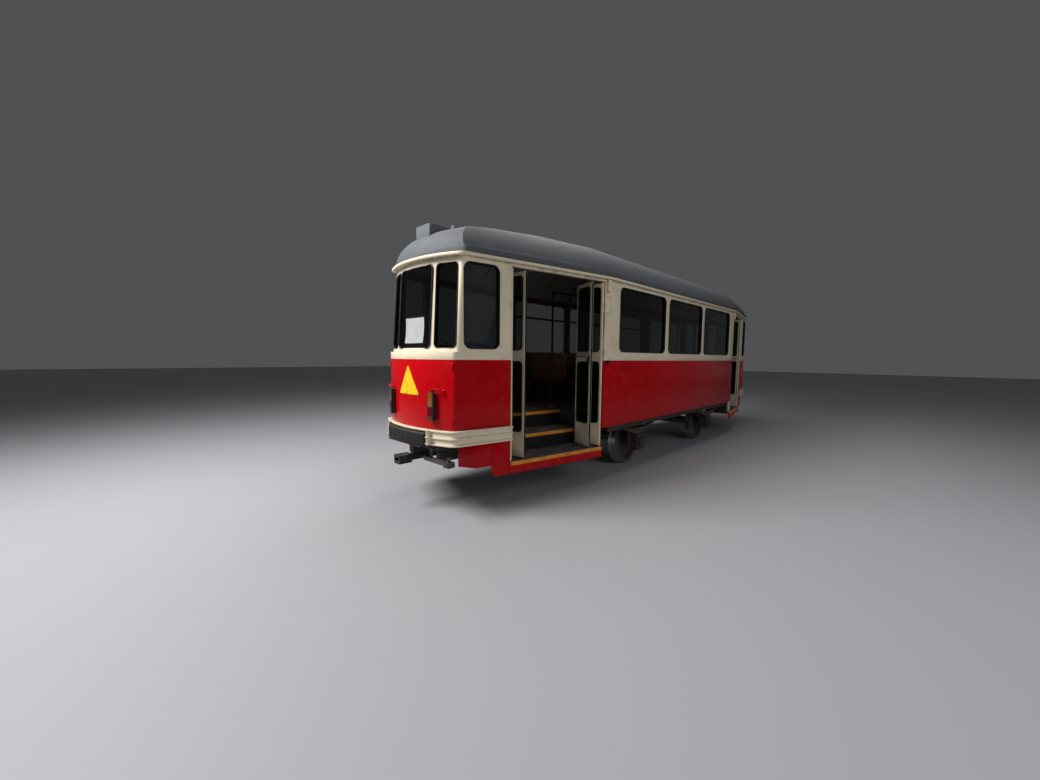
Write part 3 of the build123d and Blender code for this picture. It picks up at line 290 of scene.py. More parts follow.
class Nodes:
    """Adds nodes to a tree, with inputs set or linked by name or place."""

    def __init__(self, tree):
        self.tree = tree

    def add(self, kind, inputs=None, **settings):
        """A new node; an input given a socket is linked, and any other value is set."""
        node = self.tree.nodes.new(kind)
        for key, value in settings.items():
            setattr(node, key, value)
        for key, value in (inputs or {}).items():
            self.put(node.inputs[key], value)
        return node

    def put(self, socket, value):
        """Links or sets one input."""
        if isinstance(value, bpy.types.NodeSocket):
            self.tree.links.new(value, socket)
        elif value is not None:
            socket.default_value = value

    def math(self, operation, a, b=None):
        """A Math node's value."""
        return self.add("ShaderNodeMath", {0: a, 1: b}, operation=operation).outputs[0]

    def times(self, a, b):
        """A product."""
        return self.math("MULTIPLY", a, b)

    def plus(self, a, b):
        """A sum."""
        return self.math("ADD", a, b)

    def minus(self, a, b):
        """A difference."""
        return self.math("SUBTRACT", a, b)

    def mix(self, factor, a, b):
        """Colour a turned into colour b by a factor."""
        node = self.add("ShaderNodeMix", data_type="RGBA")
        for place, value in ((0, factor), (6, a), (7, b)):
            self.put(node.inputs[place], value)
        return node.outputs[2]

    def span(self, value, low, high, to_low=0.0, to_high=1.0):
        """A value carried from one range to another, and kept inside it."""
        node = self.add("ShaderNodeMapRange", clamp=True)
        for socket, number in zip(node.inputs, (value, low, high, to_low, to_high)):
            self.put(socket, number)
        return node.outputs[0]

    def noise(self, vector, scale, detail=3.0, stretch=None):
        """Noise on a vector, which may be stretched first."""
        if stretch:
            vector = self.add("ShaderNodeMapping", {"Vector": vector, "Scale": stretch}).outputs[0]
        return self.add("ShaderNodeTexNoise", {"Vector": vector, "Scale": scale, "Detail": detail}).outputs[0]

    def toned(self, color, value):
        """A colour made lighter or darker."""
        return self.add("ShaderNodeHueSaturation", {"Color": color, "Value": value}).outputs[0]

    def openness(self, distance):
        """How open the surface is within a distance, from 0 in a corner to 1."""
        return self.add("ShaderNodeAmbientOcclusion", {"Distance": distance}, samples=8).outputs["AO"]

    def relief(self, shader, height, distance, strength):
        """Bump from a height, put on a shader's normal."""
        inputs = {"Height": height, "Distance": distance, "Strength": strength}
        self.put(shader.inputs["Normal"], self.add("ShaderNodeBump", inputs).outputs[0])

    def axes(self, vector):
        """The three parts of a vector."""
        return self.add("ShaderNodeSeparateXYZ", {0: vector}).outputs

    def place(self):
        """Object coordinates."""
        return self.add("ShaderNodeTexCoord").outputs["Object"]


def add_inputs(tree, inputs):
    """Named inputs of a tree, each of the kind that its default has."""
    for label, value in inputs.items():
        kind = type(value).__name__.title()
        if isinstance(value, tuple):
            kind = "Color" if len(value) == 4 else "Vector"
        socket = tree.interface.new_socket(label, in_out="INPUT", socket_type="NodeSocket" + kind)
        socket.default_value = value


def shader_group(name, wire, inputs):
    """A shader node group that gives a colour, a roughness and a height, built once."""
    tree = bpy.data.node_groups.get(name)
    if tree:
        return tree
    tree = bpy.data.node_groups.new(name, "ShaderNodeTree")
    add_inputs(tree, inputs)
    for label, kind in (("Color", "Color"), ("Roughness", "Float"), ("Height", "Float")):
        tree.interface.new_socket(label, in_out="OUTPUT", socket_type="NodeSocket" + kind)
    n = Nodes(tree)
    given = n.add("NodeGroupInput").outputs
    result = n.add("NodeGroupOutput")
    for label, socket in wire(n, given).items():
        n.put(result.inputs[label], socket)
    return tree


DUST_COLOR = (0.33, 0.31, 0.28, 1.0)
ROLLED_STEEL = (0.46, 0.44, 0.42, 1.0)


def wire_paint(n, given):
    """Brushed paint: slow tone change, rain streaks, painted shade and soil in corners, worn edges, dust on
    top.
    """
    place = n.place()
    geometry = n.add("ShaderNodeNewGeometry").outputs
    broad = n.noise(place, 1.7)
    fine = n.noise(place, 9.0, 5.0)
    streak = n.noise(place, 1.0, 4.0, (26.0, 26.0, 0.9))
    # Ambient occlusion finds the hollows, and the corners there are darkened as painted shade; below they
    # join the rain streaks in one mask.
    hollow = n.openness(0.05)
    corner = n.times(n.span(hollow, 0.85, 0.45), n.span(fine, 0.3, 0.62))
    streaks_and_corner_shade = n.math("MAXIMUM", corner, n.span(streak, 0.6, 0.85, 0.0, 0.35))
    soiling_and_shade = n.times(streaks_and_corner_shade, given["Grime amount"])
    edge = n.times(n.span(geometry["Pointiness"], 0.54, 0.62), n.span(fine, 0.5, 0.6))
    worn = n.times(edge, given["Wear"])
    up = n.span(n.axes(geometry["Normal"])[2], 0.35, 0.95)
    dust = n.times(n.times(up, n.span(fine, 0.3, 0.7, 0.4, 1.0)), given["Dust"])
    color = n.toned(given["Paint"], n.span(broad, 0.3, 0.7, 0.93, 1.05))
    # Painted shade in the corners and soil in the streaks take the one colour given.
    color = n.mix(soiling_and_shade, color, given["Grime"])
    color = n.mix(worn, color, given["Under coat"])
    color = n.mix(dust, color, DUST_COLOR)
    rough = n.plus(given["Roughness"], n.span(fine, 0.25, 0.75, -0.05, 0.07))
    rough = n.plus(rough, n.times(n.plus(soiling_and_shade, dust), 0.35))
    peel = n.times(n.noise(place, 260.0, 2.0), 0.00006)
    wave = n.times(n.noise(place, 2.6, 1.0, (1.0, 1.0, 0.7)), given["Waviness"])
    height = n.minus(n.plus(peel, wave), n.times(worn, 0.0002))
    return {"Color": color, "Roughness": rough, "Height": height}


def wire_metal(n, given):
    """Cast or rolled metal: mottled tone, rust and oil in patches, fine pits."""
    place = n.place()
    mottle = n.noise(place, 18.0, 6.0)
    patch = n.span(n.noise(place, 5.0, 4.0), 0.48, 0.66)
    hollow = n.openness(0.04)
    rust = n.times(n.math("MAXIMUM", patch, n.span(hollow, 0.8, 0.4)), given["Rust amount"])
    color = n.mix(rust, n.toned(given["Metal"], n.span(mottle, 0.3, 0.7, 0.75, 1.25)), given["Rust"])
    rough = n.plus(given["Roughness"], n.times(rust, 0.25))
    rough = n.plus(rough, n.span(mottle, 0.25, 0.75, -0.08, 0.08))
    relief = n.plus(n.noise(place, 140.0, 4.0), n.times(rust, 0.5))
    height = n.times(relief, given["Pits"])
    return {"Color": color, "Roughness": rough, "Height": height}


def wire_grain(n, given):
    """Grain of wood or hide: bands stretched along one direction, broken by noise."""
    stretched = n.add("ShaderNodeMapping", {"Vector": n.place(), "Scale": given["Stretch"]}).outputs[0]
    bands = n.noise(stretched, 4.0, 6.0)
    pores = n.noise(stretched, 38.0, 3.0)
    worn = n.span(n.noise(n.place(), 3.0, 4.0), 0.45, 0.7)
    color = n.mix(n.span(bands, 0.35, 0.68), given["Light"], given["Dark"])
    color = n.mix(n.times(worn, 0.3), color, given["Worn"])
    rough = n.plus(given["Roughness"], n.span(pores, 0.3, 0.7, -0.06, 0.1))
    return {"Color": color, "Roughness": rough, "Height": n.times(pores, given["Depth"])}


def wire_weave(n, given):
    """Upholstery cloth: crossed threads, soft change of tone, rubbed where it is sat on."""
    x, y, z = n.axes(n.place())
    threads = given["Threads"]
    across = n.math("SINE", n.times(y, threads))
    along = n.math("SINE", n.times(n.plus(x, z), threads))
    weave = n.times(across, along)
    soft = n.noise(n.place(), 4.0, 4.0)
    up = n.axes(n.add("ShaderNodeNewGeometry").outputs["Normal"])[2]
    rubbed = n.times(n.span(up, 0.6, 1.0), n.span(soft, 0.4, 0.65))
    color = n.mix(n.span(weave, -1.0, 1.0), given["Shade"], given["Cloth"])
    color = n.mix(n.times(rubbed, 0.4), color, given["Rubbed"])
    rough = n.span(soft, 0.3, 0.7, 0.75, 0.92)
    return {"Color": color, "Roughness": rough, "Height": n.times(weave, 0.0004)}


# What each effect is wired from, with its inputs and their defaults
EFFECTS = {
    "Weathered paint": (
        wire_paint,
        {
            "Paint": (0.5, 0.5, 0.5, 1.0),
            # The next two give the colour and strength of the painted shade in corners and of the soil in
            # rain streaks.
            "Grime": (0.06, 0.05, 0.04, 1.0),
            "Under coat": (0.12, 0.1, 0.09, 1.0),
            "Grime amount": 0.5,
            "Wear": 0.5,
            "Dust": 0.3,
            "Roughness": 0.3,
            "Waviness": 0.0012,
        },
    ),
    "Worked metal": (
        wire_metal,
        {
            "Metal": (0.05, 0.05, 0.05, 1.0),
            "Rust": (0.13, 0.055, 0.025, 1.0),
            "Rust amount": 0.4,
            "Roughness": 0.55,
            "Pits": 0.0003,
        },
    ),
    "Natural grain": (
        wire_grain,
        {
            "Light": (0.3, 0.16, 0.08, 1.0),
            "Dark": (0.14, 0.06, 0.03, 1.0),
            "Worn": (0.35, 0.22, 0.13, 1.0),
            "Stretch": (20.0, 20.0, 1.0),
            "Roughness": 0.4,
            "Depth": 0.0003,
        },
    ),
    "Woven cloth": (
        wire_weave,
        {
            "Cloth": (0.2, 0.02, 0.02, 1.0),
            "Shade": (0.1, 0.01, 0.01, 1.0),
            "Rubbed": (0.26, 0.07, 0.06, 1.0),
            "Threads": 2200.0,
        },
    ),
}


def bare_material(name):
    """A new material, a helper that adds nodes to it, and its shader."""
    material = bpy.data.materials.new(name)
    material.use_nodes = True
    return material, Nodes(material.node_tree), material.node_tree.nodes["Principled BSDF"]


def finish(name, effect, values, **constants):
    """A material whose colour, roughness and bump come from one effect, with the shader's own constants."""
    material, n, shader = bare_material(name)
    group = n.add("ShaderNodeGroup", node_tree=shader_group(effect, *EFFECTS[effect]))
    for key, value in values.items():
        color = hasattr(value, "__len__") and key != "Stretch"
        n.put(group.inputs[key], (*value, 1.0) if color else value)
    n.put(shader.inputs["Base Color"], group.outputs["Color"])
    n.put(shader.inputs["Roughness"], group.outputs["Roughness"])
    n.relief(shader, group.outputs["Height"], 1.0, 1.0)
    for key, value in constants.items():
        shader.inputs[key.replace("_", " ")].default_value = value
    return material


def glass_finish(name, color, roughness, film):
    """Clear glass of the colour given, with a thin film of soil on it."""
    material, n, shader = bare_material(name)
    shader.inputs["Transmission Weight"].default_value = 1.0
    shader.inputs["IOR"].default_value = 1.25
    smear = n.noise(n.place(), 7.0, 5.0)
    filmed = [part * film for part in color]
    n.put(shader.inputs["Base Color"], n.mix(n.span(smear, 0.35, 0.7), (*color, 1.0), (*filmed, 1.0)))
    n.put(shader.inputs["Roughness"], n.span(smear, 0.35, 0.75, roughness, roughness + 0.05))
    n.relief(shader, n.noise(n.place(), 1.6, 1.0), 0.002, 0.25)
    return material


def wheel_finish(settings):
    """Worked steel whose tread and flange are rolled bright."""
    values = {"Metal": (0.07, 0.06, 0.055), "Rust amount": 0.6, "Pits": 0.0005}
    material = finish("wheel_steel", "Worked metal", values)
    n = Nodes(material.node_tree)
    sockets = material.node_tree.nodes["Principled BSDF"].inputs
    x, _, z = n.axes(n.place())
    run = n.minus(n.math("ABSOLUTE", x), settings.half_wheelbase)
    rise = n.minus(z, settings.axle_height)
    reach = n.math("SQRT", n.plus(n.times(run, run), n.times(rise, rise)))
    bright = n.span(reach, settings.tread_radius - 0.004, settings.tread_radius - 0.002)
    color, rough = (sockets[key].links[0].from_socket for key in ("Base Color", "Roughness"))
    n.put(sockets["Base Color"], n.mix(bright, color, ROLLED_STEEL))
    n.put(sockets["Roughness"], n.minus(rough, n.times(bright, 0.3)))
    n.put(sockets["Metallic"], bright)
    return material


def build_finishes(scene):
    """Every material of the car, by a short name."""
    paint, parts = scene.tram_paint, {}

    def painted(name, color, **values):
        constants = {"Coat_Weight": values.pop("coat", 0.0), "Coat_Roughness": 0.08}
        constants["Specular_IOR_Level"] = values.pop("shine", 0.35)
        values = {key.replace("_", " "): value for key, value in values.items()}
        parts[name] = finish(name, "Weathered paint", {"Paint": color, **values}, **constants)

    glossy = {"Roughness": 0.26, "coat": 0.05, "Wear": 0.2, "Dust": 0.03, "shine": 0.15}
    # Cream paint darkens brown in corners and rain streaks: painted shade and soil in the corners, soil in
    # the streaks.
    soiled_and_shaded = {"Grime": (0.2, 0.16, 0.1), "Grime_amount": 0.6}
    rusty = {"Grime": (0.1, 0.06, 0.03), "Grime_amount": 0.9}
    # Red paint turns deeper red in corners as painted shade, and in rain streaks.
    painted("red_paint", paint.red, **glossy, Grime=(0.1, 0.0, 0.0), Grime_amount=0.14, Waviness=0.0016)
    painted("cream_paint", paint.cream, Roughness=0.38, coat=0.12, **soiled_and_shaded)
    painted("roof_paint", paint.roof, Roughness=0.65, Dust=0.1, Grime=(0.08, 0.08, 0.08), Waviness=0.003)
    painted("orange_paint", paint.orange, Roughness=0.55, Wear=1.0, **rusty)
    # The ceiling is darker than its real pale paint: painted shade for the dim inside.
    painted("ceiling_paint", (0.3, 0.28, 0.23), Roughness=0.5, Dust=0.0)
    painted("black_paint", (0.012, 0.012, 0.014), Roughness=0.42, Grime=(0.04, 0.033, 0.03), Dust=0.12)
    painted("lamp_housing", (0.02, 0.019, 0.019), Roughness=0.45, Dust=0.3)
    dull = {"Grime": (0.03, 0.03, 0.029), "Wear": 0.2, "Dust": 0.12}
    painted("rubber", (0.01, 0.01, 0.011), Roughness=0.6, Waviness=0.0006, **dull)
    painted("window_rubber", (0.008, 0.008, 0.009), Roughness=0.5, Wear=0.0, Dust=0.1, Waviness=0.0002)
    painted("sign_yellow", paint.sign, Roughness=0.35, Wear=0.3, Grime_amount=0.15)
    painted("paper", (0.8, 0.8, 0.79), Roughness=0.7, Wear=0.0, Grime=(0.6, 0.58, 0.52), Waviness=0.003)
    painted("opal_glass", (0.72, 0.71, 0.66), Roughness=0.18, Wear=0.0, Grime_amount=0.3, coat=0.5)
    painted("step_rubber", (0.022, 0.022, 0.022), Roughness=0.7, Grime=(0.07, 0.06, 0.05), Dust=0.7)

    def worked(name, color, rust, given=None, **constants):
        values = {"Metal": color, "Rust amount": rust, **(given or {})}
        parts[name] = finish(name, "Worked metal", values, **constants)

    worked("frame_metal", (0.03, 0.03, 0.032), 0.35)
    worked("spring_metal", (0.055, 0.045, 0.04), 0.7)
    worked("link_metal", (0.075, 0.072, 0.07), 0.4, {"Roughness": 0.4}, Metallic=0.5)
    worked("bright_metal", (0.5, 0.49, 0.47), 0.08, {"Roughness": 0.3, "Pits": 0.00005}, Metallic=1.0)
    worked("brass", (0.5, 0.33, 0.12), 0.12, {"Roughness": 0.32, "Pits": 0.00005}, Metallic=1.0)
    parts["wheel_steel"] = wheel_finish(scene.tram_gear)

    def grained(name, light, dark, worn, stretch, roughness, **constants):
        values = {"Light": light, "Dark": dark, "Worn": worn, "Stretch": stretch, "Roughness": roughness}
        parts[name] = finish(name, "Natural grain", values, **constants)

    wood = ((0.14, 0.06, 0.022), (0.06, 0.022, 0.01), (0.16, 0.09, 0.045))
    grained("lining_wood", *wood, (14.0, 14.0, 1.2), 0.35, Coat_Weight=0.3)
    floor = ((0.1, 0.07, 0.05), (0.045, 0.03, 0.022), (0.18, 0.15, 0.12))
    grained("floor_wood", *floor, (1.2, 22.0, 8.0), 0.6)
    hide = ((0.09, 0.05, 0.03), (0.05, 0.028, 0.017), (0.14, 0.09, 0.06))
    grained("hide", *hide, (26.0, 26.0, 26.0), 0.45)
    parts["seat_covering"] = finish("seat_covering", "Woven cloth", {})
    # The windows take the darkened glass colour: painted shade for the dim inside.
    parts["glass"] = glass_finish("window_glass", scene.tram_paint.glass, 0.01, 0.92)
    clear = {"Roughness": 0.15, "Wear": 0.0, "coat": 0.6}
    painted("amber_lens", (0.27, 0.065, 0.003), Grime=(0.15, 0.03, 0.0), **clear)
    painted("red_lens", (0.1, 0.002, 0.003), Grime=(0.05, 0.0, 0.0), **clear)
    return parts


# The materials by short name, filled by main
FINISH = {}


def tree_of(name, wire, inputs):
    """A geometry node tree with named inputs, ended by Realize Instances and Set Material."""
    tree = bpy.data.node_groups.get(name)
    if tree:
        return tree
    tree = bpy.data.node_groups.new(name, "GeometryNodeTree")
    tree.interface.new_socket("Geometry", in_out="INPUT", socket_type="NodeSocketGeometry")
    tree.interface.new_socket("Geometry", in_out="OUTPUT", socket_type="NodeSocketGeometry")
    add_inputs(tree, inputs)
    tree.interface.new_socket("Finish", in_out="INPUT", socket_type="NodeSocketMaterial")
    n = Nodes(tree)
    given = n.add("NodeGroupInput").outputs
    real = n.add("GeometryNodeRealizeInstances", {0: wire(n, given)})
    done = n.add("GeometryNodeSetMaterial", {"Geometry": real.outputs[0], "Material": given["Finish"]})
    n.put(n.add("NodeGroupOutput").inputs[0], done.outputs[0])
    return tree


def wire_tube(n, given):
    """A round tube along every run of edges, with its corners rounded."""
    path = n.add("GeometryNodeMeshToCurve", {0: given["Geometry"]}).outputs[0]
    inputs = {"Curve": path, "Radius": given["Bend"], "Limit Radius": True, "Count": 5}
    path = n.add("GeometryNodeFilletCurve", inputs, mode="POLY").outputs[0]
    inputs = {"Resolution": given["Sides"], "Radius": given["Radius"]}
    ring = n.add("GeometryNodeCurvePrimitiveCircle", inputs).outputs[0]
    inputs = {"Curve": path, "Profile Curve": ring, "Fill Caps": True}
    skin = n.add("GeometryNodeCurveToMesh", inputs).outputs[0]
    return n.add("GeometryNodeSetShadeSmooth", {"Geometry": skin}).outputs[0]


def on_points(n, given, shape, axis):
    """A shape on every point, with one of its axes along the point's facing."""
    facing = n.add("GeometryNodeInputNamedAttribute", {"Name": "facing"}, data_type="FLOAT_VECTOR").outputs[0]
    turn = n.add("FunctionNodeAlignRotationToVector", {"Vector": facing}, axis=axis).outputs[0]
    inputs = {"Points": given["Geometry"], "Instance": shape, "Rotation": turn}
    return n.add("GeometryNodeInstanceOnPoints", inputs).outputs[0]


def wire_heads(n, given):
    """A low round head on every point, standing on the surface."""
    top = n.times(given["Radius"], 0.7)
    inputs = {"Vertices": given["Sides"], "Radius Top": top}
    inputs |= {"Radius Bottom": given["Radius"], "Depth": given["Height"]}
    return on_points(n, given, n.add("GeometryNodeMeshCone", inputs).outputs[0], "Z")


def wire_bars(n, given):
    """A flat bar with chamfered ends on every point, along the point's facing."""
    inputs = {"Width": given["Width"], "Height": given["Height"]}
    outline = n.add("GeometryNodeCurvePrimitiveQuadrilateral", inputs)
    round_off = n.times(given["Height"], 0.3)
    inputs = {"Curve": outline.outputs[0], "Radius": round_off, "Limit Radius": True, "Count": 2}
    section = n.add("GeometryNodeFilletCurve", inputs, mode="POLY").outputs[0]
    half = n.times(given["Length"], 0.5)
    start, stop = (
        n.add("ShaderNodeCombineXYZ", {0: x}).outputs[0] for x in (n.times(half, -1.0), half)
    )
    line = n.add("GeometryNodeCurvePrimitiveLine", {"Start": start, "End": stop})
    inputs = {"Curve": line.outputs[0], "Profile Curve": section, "Fill Caps": True}
    return on_points(n, given, n.add("GeometryNodeCurveToMesh", inputs).outputs[0], "X")


# What each geometry tree is wired from, with its inputs and their defaults
TREES = {
    "Tube along edges": (wire_tube, {"Radius": 0.01, "Bend": 0.0, "Sides": 10}),
    "Heads on points": (wire_heads, {"Radius": 0.01, "Height": 0.004, "Sides": 10}),
    "Bars on points": (wire_bars, {"Length": 1.0, "Width": 0.01, "Height": 0.004}),
}


def grown(obj, tree_name, finish_name, **inputs):
    """Runs a geometry tree on an object and keeps the result as its plain mesh."""
    tree = tree_of(tree_name, *TREES[tree_name])
    modifier = obj.modifiers.new("shape", "NODES")
    modifier.node_group = tree
    values = {**inputs, "Finish": FINISH[finish_name]}
    for item in tree.interface.items_tree:
        if item.in_out == "INPUT" and item.name in values:
            modifier[item.identifier] = values[item.name]
    return kept(obj)


def kept(obj):
    """The object with its modifiers applied, as a plain mesh of its own."""
    bpy.context.view_layer.update()
    evaluated = obj.evaluated_get(bpy.context.evaluated_depsgraph_get())
    mesh = bpy.data.meshes.new_from_object(evaluated)
    obj.modifiers.clear()
    old, obj.data = obj.data, mesh
    mesh.name = obj.name
    bpy.data.meshes.remove(old)
    return obj


def new_object(name, bm=None, mesh=None):
    """An object at the origin that holds a mesh."""
    if mesh is None:
        mesh = bpy.data.meshes.new(name)
        bm.to_mesh(mesh)
        bm.free()
    obj = bpy.data.objects.new(name, mesh)
    bpy.context.scene.collection.objects.link(obj)
    return obj


def placed(obj, slot, body="root", *nodes):
    """The piece rides on its body and stands for the nodes named."""
    slot = SLOTS.get(slot, slot)
    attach(obj, body)
    if nodes:
        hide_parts(*nodes)
    return obj


def smooth(mesh, angle=40):
    """Smooth shading with the sharp edges kept."""
    mesh.shade_smooth()
    mesh.set_sharp_from_angle(angle=radians(angle))


def tubes(name, runs, radius, finish_name, body="root", closed=False, bend=0.0, sides=10):
    """Round tubes along runs of points."""
    bm = bmesh.new()
    for run in runs:
        verts = [bm.verts.new(p) for p in run]
        pairs = list(zip(verts, verts[1:])) + ([(verts[-1], verts[0])] if closed else [])
        for pair in pairs:
            bm.edges.new(pair)
    obj = new_object(name, bm)
    grown(obj, "Tube along edges", finish_name, Radius=radius, Bend=bend, Sides=sides)
    smooth(obj.data, 50)
    return placed(obj, finish_name, body)


def pointed(name, points):
    """An object of bare points, each with the way it faces."""
    bm = bmesh.new()
    facing = bm.verts.layers.float_vector.new("facing")
    for place, way in points:
        bm.verts.new(place)[facing] = way
    return new_object(name, bm)


def heads(name, points, finish_name, kind=None, slot=None, body="root"):
    """Screw, bolt or rivet heads on points, each given with the way it faces."""
    sizes = dict(zip(("Radius", "Height", "Sides"), HEADS[kind or name]))
    obj = grown(pointed(name, points), "Heads on points", finish_name, **sizes)
    smooth(obj.data, 30)
    return placed(obj, slot or finish_name, body)


def bars(name, points, length, width, height, finish_name):
    """Flat bars on points, each given with the way it runs."""
    sizes = {"Length": length, "Width": width, "Height": height}
    obj = grown(pointed(name, points), "Bars on points", finish_name, **sizes)
    smooth(obj.data, 30)
    return placed(obj, finish_name)


def ring(count, radius, first=0.0):
    """Points evenly round a circle, the first one this part of a step along."""
    angles = [2 * pi * (i + first) / count for i in range(count)]
    return [(radius * cos(a), radius * sin(a)) for a in angles]


def rounded(bm, edges, offset):
    """Rounds edges off."""
    style = {"segments": 2, "profile": 0.5, "affect": "EDGES", "clamp_overlap": True}
    bmesh.ops.bevel(bm, geom=edges, offset=offset, **style)


def grid_faces(bm, rows):
    """Faces between neighbouring rows of vertices."""
    for low, high in zip(rows, rows[1:]):
        for j in range(len(low) - 1):
            bm.faces.new((low[j], low[j + 1], high[j + 1], high[j]))


def grid_rim(rows):
    """The vertices round a grid, in order."""
    return rows[0] + [row[-1] for row in rows[1:-1]] + rows[-1][::-1] + [row[0] for row in rows[-2:0:-1]]


def joined(bm, low, high):
    """Faces between two closed runs of vertices."""
    for i in range(len(low)):
        bm.faces.new((low[i - 1], low[i], high[i], high[i - 1]))


def painted_object(name, bm, finish_name, angle=35, slot=None, body="root"):
    """A finished piece of one material from a closed shape."""
    bmesh.ops.recalc_face_normals(bm, faces=bm.faces[:])
    obj = new_object(name, bm)
    obj.data.materials.append(FINISH[finish_name])
    smooth(obj.data, angle)
    return placed(obj, slot or finish_name, body)


def upright(spot, *size):
    """An item for slabs: upright at a place given with the way it faces, of a size across, up and out."""
    return (*spot, UP, size)


def slabs(name, items, finish_name, round_off=0.002, **ride):
    """Small plates and blocks with rounded edges: place, way out, way up, and size across, up and out."""
    bm = bmesh.new()
    for place, out, up, size in items:
        axes = (up.cross(out) * size[0], up * size[1], out * size[2])
        turned_to = Matrix(axes).transposed().to_4x4()
        bmesh.ops.create_cube(bm, size=1.0, matrix=Matrix.Translation(place) @ turned_to)
    rounded(bm, bm.edges[:], round_off)
    return painted_object(name, bm, finish_name, **ride)


def turned(name, places, finish_name, steps=20):
    """Round pieces from the profile of their name, standing along each place's facing."""
    bm = bmesh.new()
    for place, out in places:
        stand = out.to_track_quat("Z", "Y").to_matrix()
        rings = []
        for radius, height in PROFILES[name]:
            points = [place + stand @ Vector((u, v, height)) for u, v in ring(steps, radius)]
            rings.append([bm.verts.new(point) for point in points])
        for low, high in zip(rings, rings[1:]):
            joined(bm, low, high)
        bm.faces.new(rings[0])
        bm.faces.new(rings[-1])
    return painted_object(name, bm, finish_name)


def raised(name, outline, places, thickness, finish_name, round_off=0.0015):
    """A flat outline of x and z, given a thickness across the car at each place."""
    bm = bmesh.new()
    for place in places:
        sides = []
        for y in (-thickness / 2, thickness / 2):
            sides.append([bm.verts.new(place + Vector((x, y, z))) for x, z in outline])
            bm.faces.new(sides[-1])
        joined(bm, *sides)
    rounded(bm, bm.edges[:], round_off)
    return painted_object(name, bm, finish_name)


def surface(node):
    """A CAD node's surface, to find where a straight line meets it."""
    bm = merged(node)
    tree = BVHTree.FromBMesh(bm)
    bm.free()
    return tree


def wall_line(x):
    """Half the car's width at a distance along it, before the ends' bow."""
    return HALF_WIDTH - max(0.0, abs(x) - SALOON_HALF) * TAPER


def window_lean(z):
    """How far the ends' windows stand back at a height."""
    return BELT_LEDGE + (z - BELT_TOP) * WINDOW_LEAN if z > BELT_TOP else 0.0


def on_end(end, s, z, out=0.0):
    """A place on an end's bowed wall, and the way the wall faces there."""
    side = SIDE_OF[end]
    turn = asin(s / END_RADIUS)
    way = Vector((side * cos(turn), sin(turn), 0.0))
    return Vector((side * (ARC_CENTRE - window_lean(z)), 0.0, z)) + way * (END_RADIUS + out), way


def on_side(end, back, z, out=0.0, hand=-1):
    """A place on a side wall, measured back from an end, and the way the wall faces there."""
    side, x = SIDE_OF[end], BODY_HALF - back
    way = Vector((side * RISE, hand * RUN, 0.0)) if x > SALOON_HALF else ACROSS * hand
    return Vector((side * x, hand * wall_line(x), z)) + way * out, way


def inset(place):
    """How far a place lies inside the outside of the side walls."""
    return (wall_line(place.x) - abs(place.y)) * (RUN if abs(place.x) > SALOON_HALF else 1.0)


def door_frame(end):
    """The matrix from a doorway's own frame, x along the wall and y inwards, to the car."""
    side = SIDE_OF[end]
    along = (-side * RUN, -side * RISE, 0, side * DOOR_MIDDLE)
    return Matrix((along, (-RISE, RUN, 0, -wall_line(DOOR_MIDDLE)), (0, 0, 1, 0), (0, 0, 0, 1)))


def leaf_frame(end, n):
    """The matrix from a leaf's own frame, x from its hinge and y inwards, to the car at rest."""
    fold = radians(FOLDS[n])
    whole = Matrix.Translation((-DOOR_HALF + LEAF_AXIS, WALL / 2, 0)) @ Matrix.Rotation(fold, 4, "Z")
    if n in (2, 3):
        whole @= Matrix.Translation((LEAF_REACH, -LEAF_THICKNESS / 2, 0)) @ Matrix.Rotation(-2 * fold, 4, "Z")
    if n > 2:
        whole = Matrix.Diagonal((-1, 1, 1, 1)) @ whole
    return door_frame(end) @ whole


def merged(node):
    """A merged copy of a CAD node's triangles, its flat faces joined."""
    bm = bmesh.new()
    bm.from_mesh(NODES[node].data)
    bmesh.ops.remove_doubles(bm, verts=bm.verts, dist=1e-5)
    bmesh.ops.dissolve_limit(bm, angle_limit=radians(0.4), verts=bm.verts, edges=bm.edges)
    return bm


def dressed(node, slot, pick, round_off=0.002, body="root"):
    """A copy of a CAD node with rounded edges, each face given its finish by a rule, in the node's place."""
    bm = merged(node)
    sharp = [e for e in bm.edges if len(e.link_faces) == 2 and e.calc_face_angle(0.0) > radians(38)]
    rounded(bm, sharp, round_off)
    names = []
    for face in bm.faces:
        name = pick if isinstance(pick, str) else pick(face.calc_center_median(), face.normal)
        if name not in names:
            names.append(name)
        face.material_index = names.index(name)
    obj = new_object(node + ".dressed", bm)
    for name in names:
        obj.data.materials.append(FINISH[name])
    smooth(obj.data, 32)
    return placed(obj, slot, body, node)


def pane_faces(node):
    """The rim, middle and facing of each pane's two faces in a glass node."""
    bm = merged(node)
    large = [face for face in bm.faces if face.calc_area() > 0.02]
    found = [([v.co.copy() for v in f.verts], f.calc_center_median(), f.normal.copy()) for f in large]
    bm.free()
    return found


def pane_outlines(node):
    """The rim of each pane's outer face in a glass node, with the way it faces."""
    return [(rim, normal) for rim, middle, normal in pane_faces(node) if normal.dot(outward(middle)) > 0]


def outward(place):
    """The level direction out of the car's walls near a place."""
    x, y, z = abs(place.x), abs(place.y), place.z
    lean = window_lean(z)
    side_gap = wall_line(x) - y
    end_gap = ARC_CENTRE - lean + sqrt(max(0.0, END_RADIUS**2 - y**2)) - x
    if end_gap < side_gap:
        way = Vector((x - ARC_CENTRE + lean, y, 0.0))
    else:
        way = Vector((TAPER if x > SALOON_HALF else 0.0, 1.0, 0.0))
    way.normalize()
    return Vector((way.x * (1 if place.x > 0 else -1), way.y * (1 if place.y > 0 else -1), 0.0))


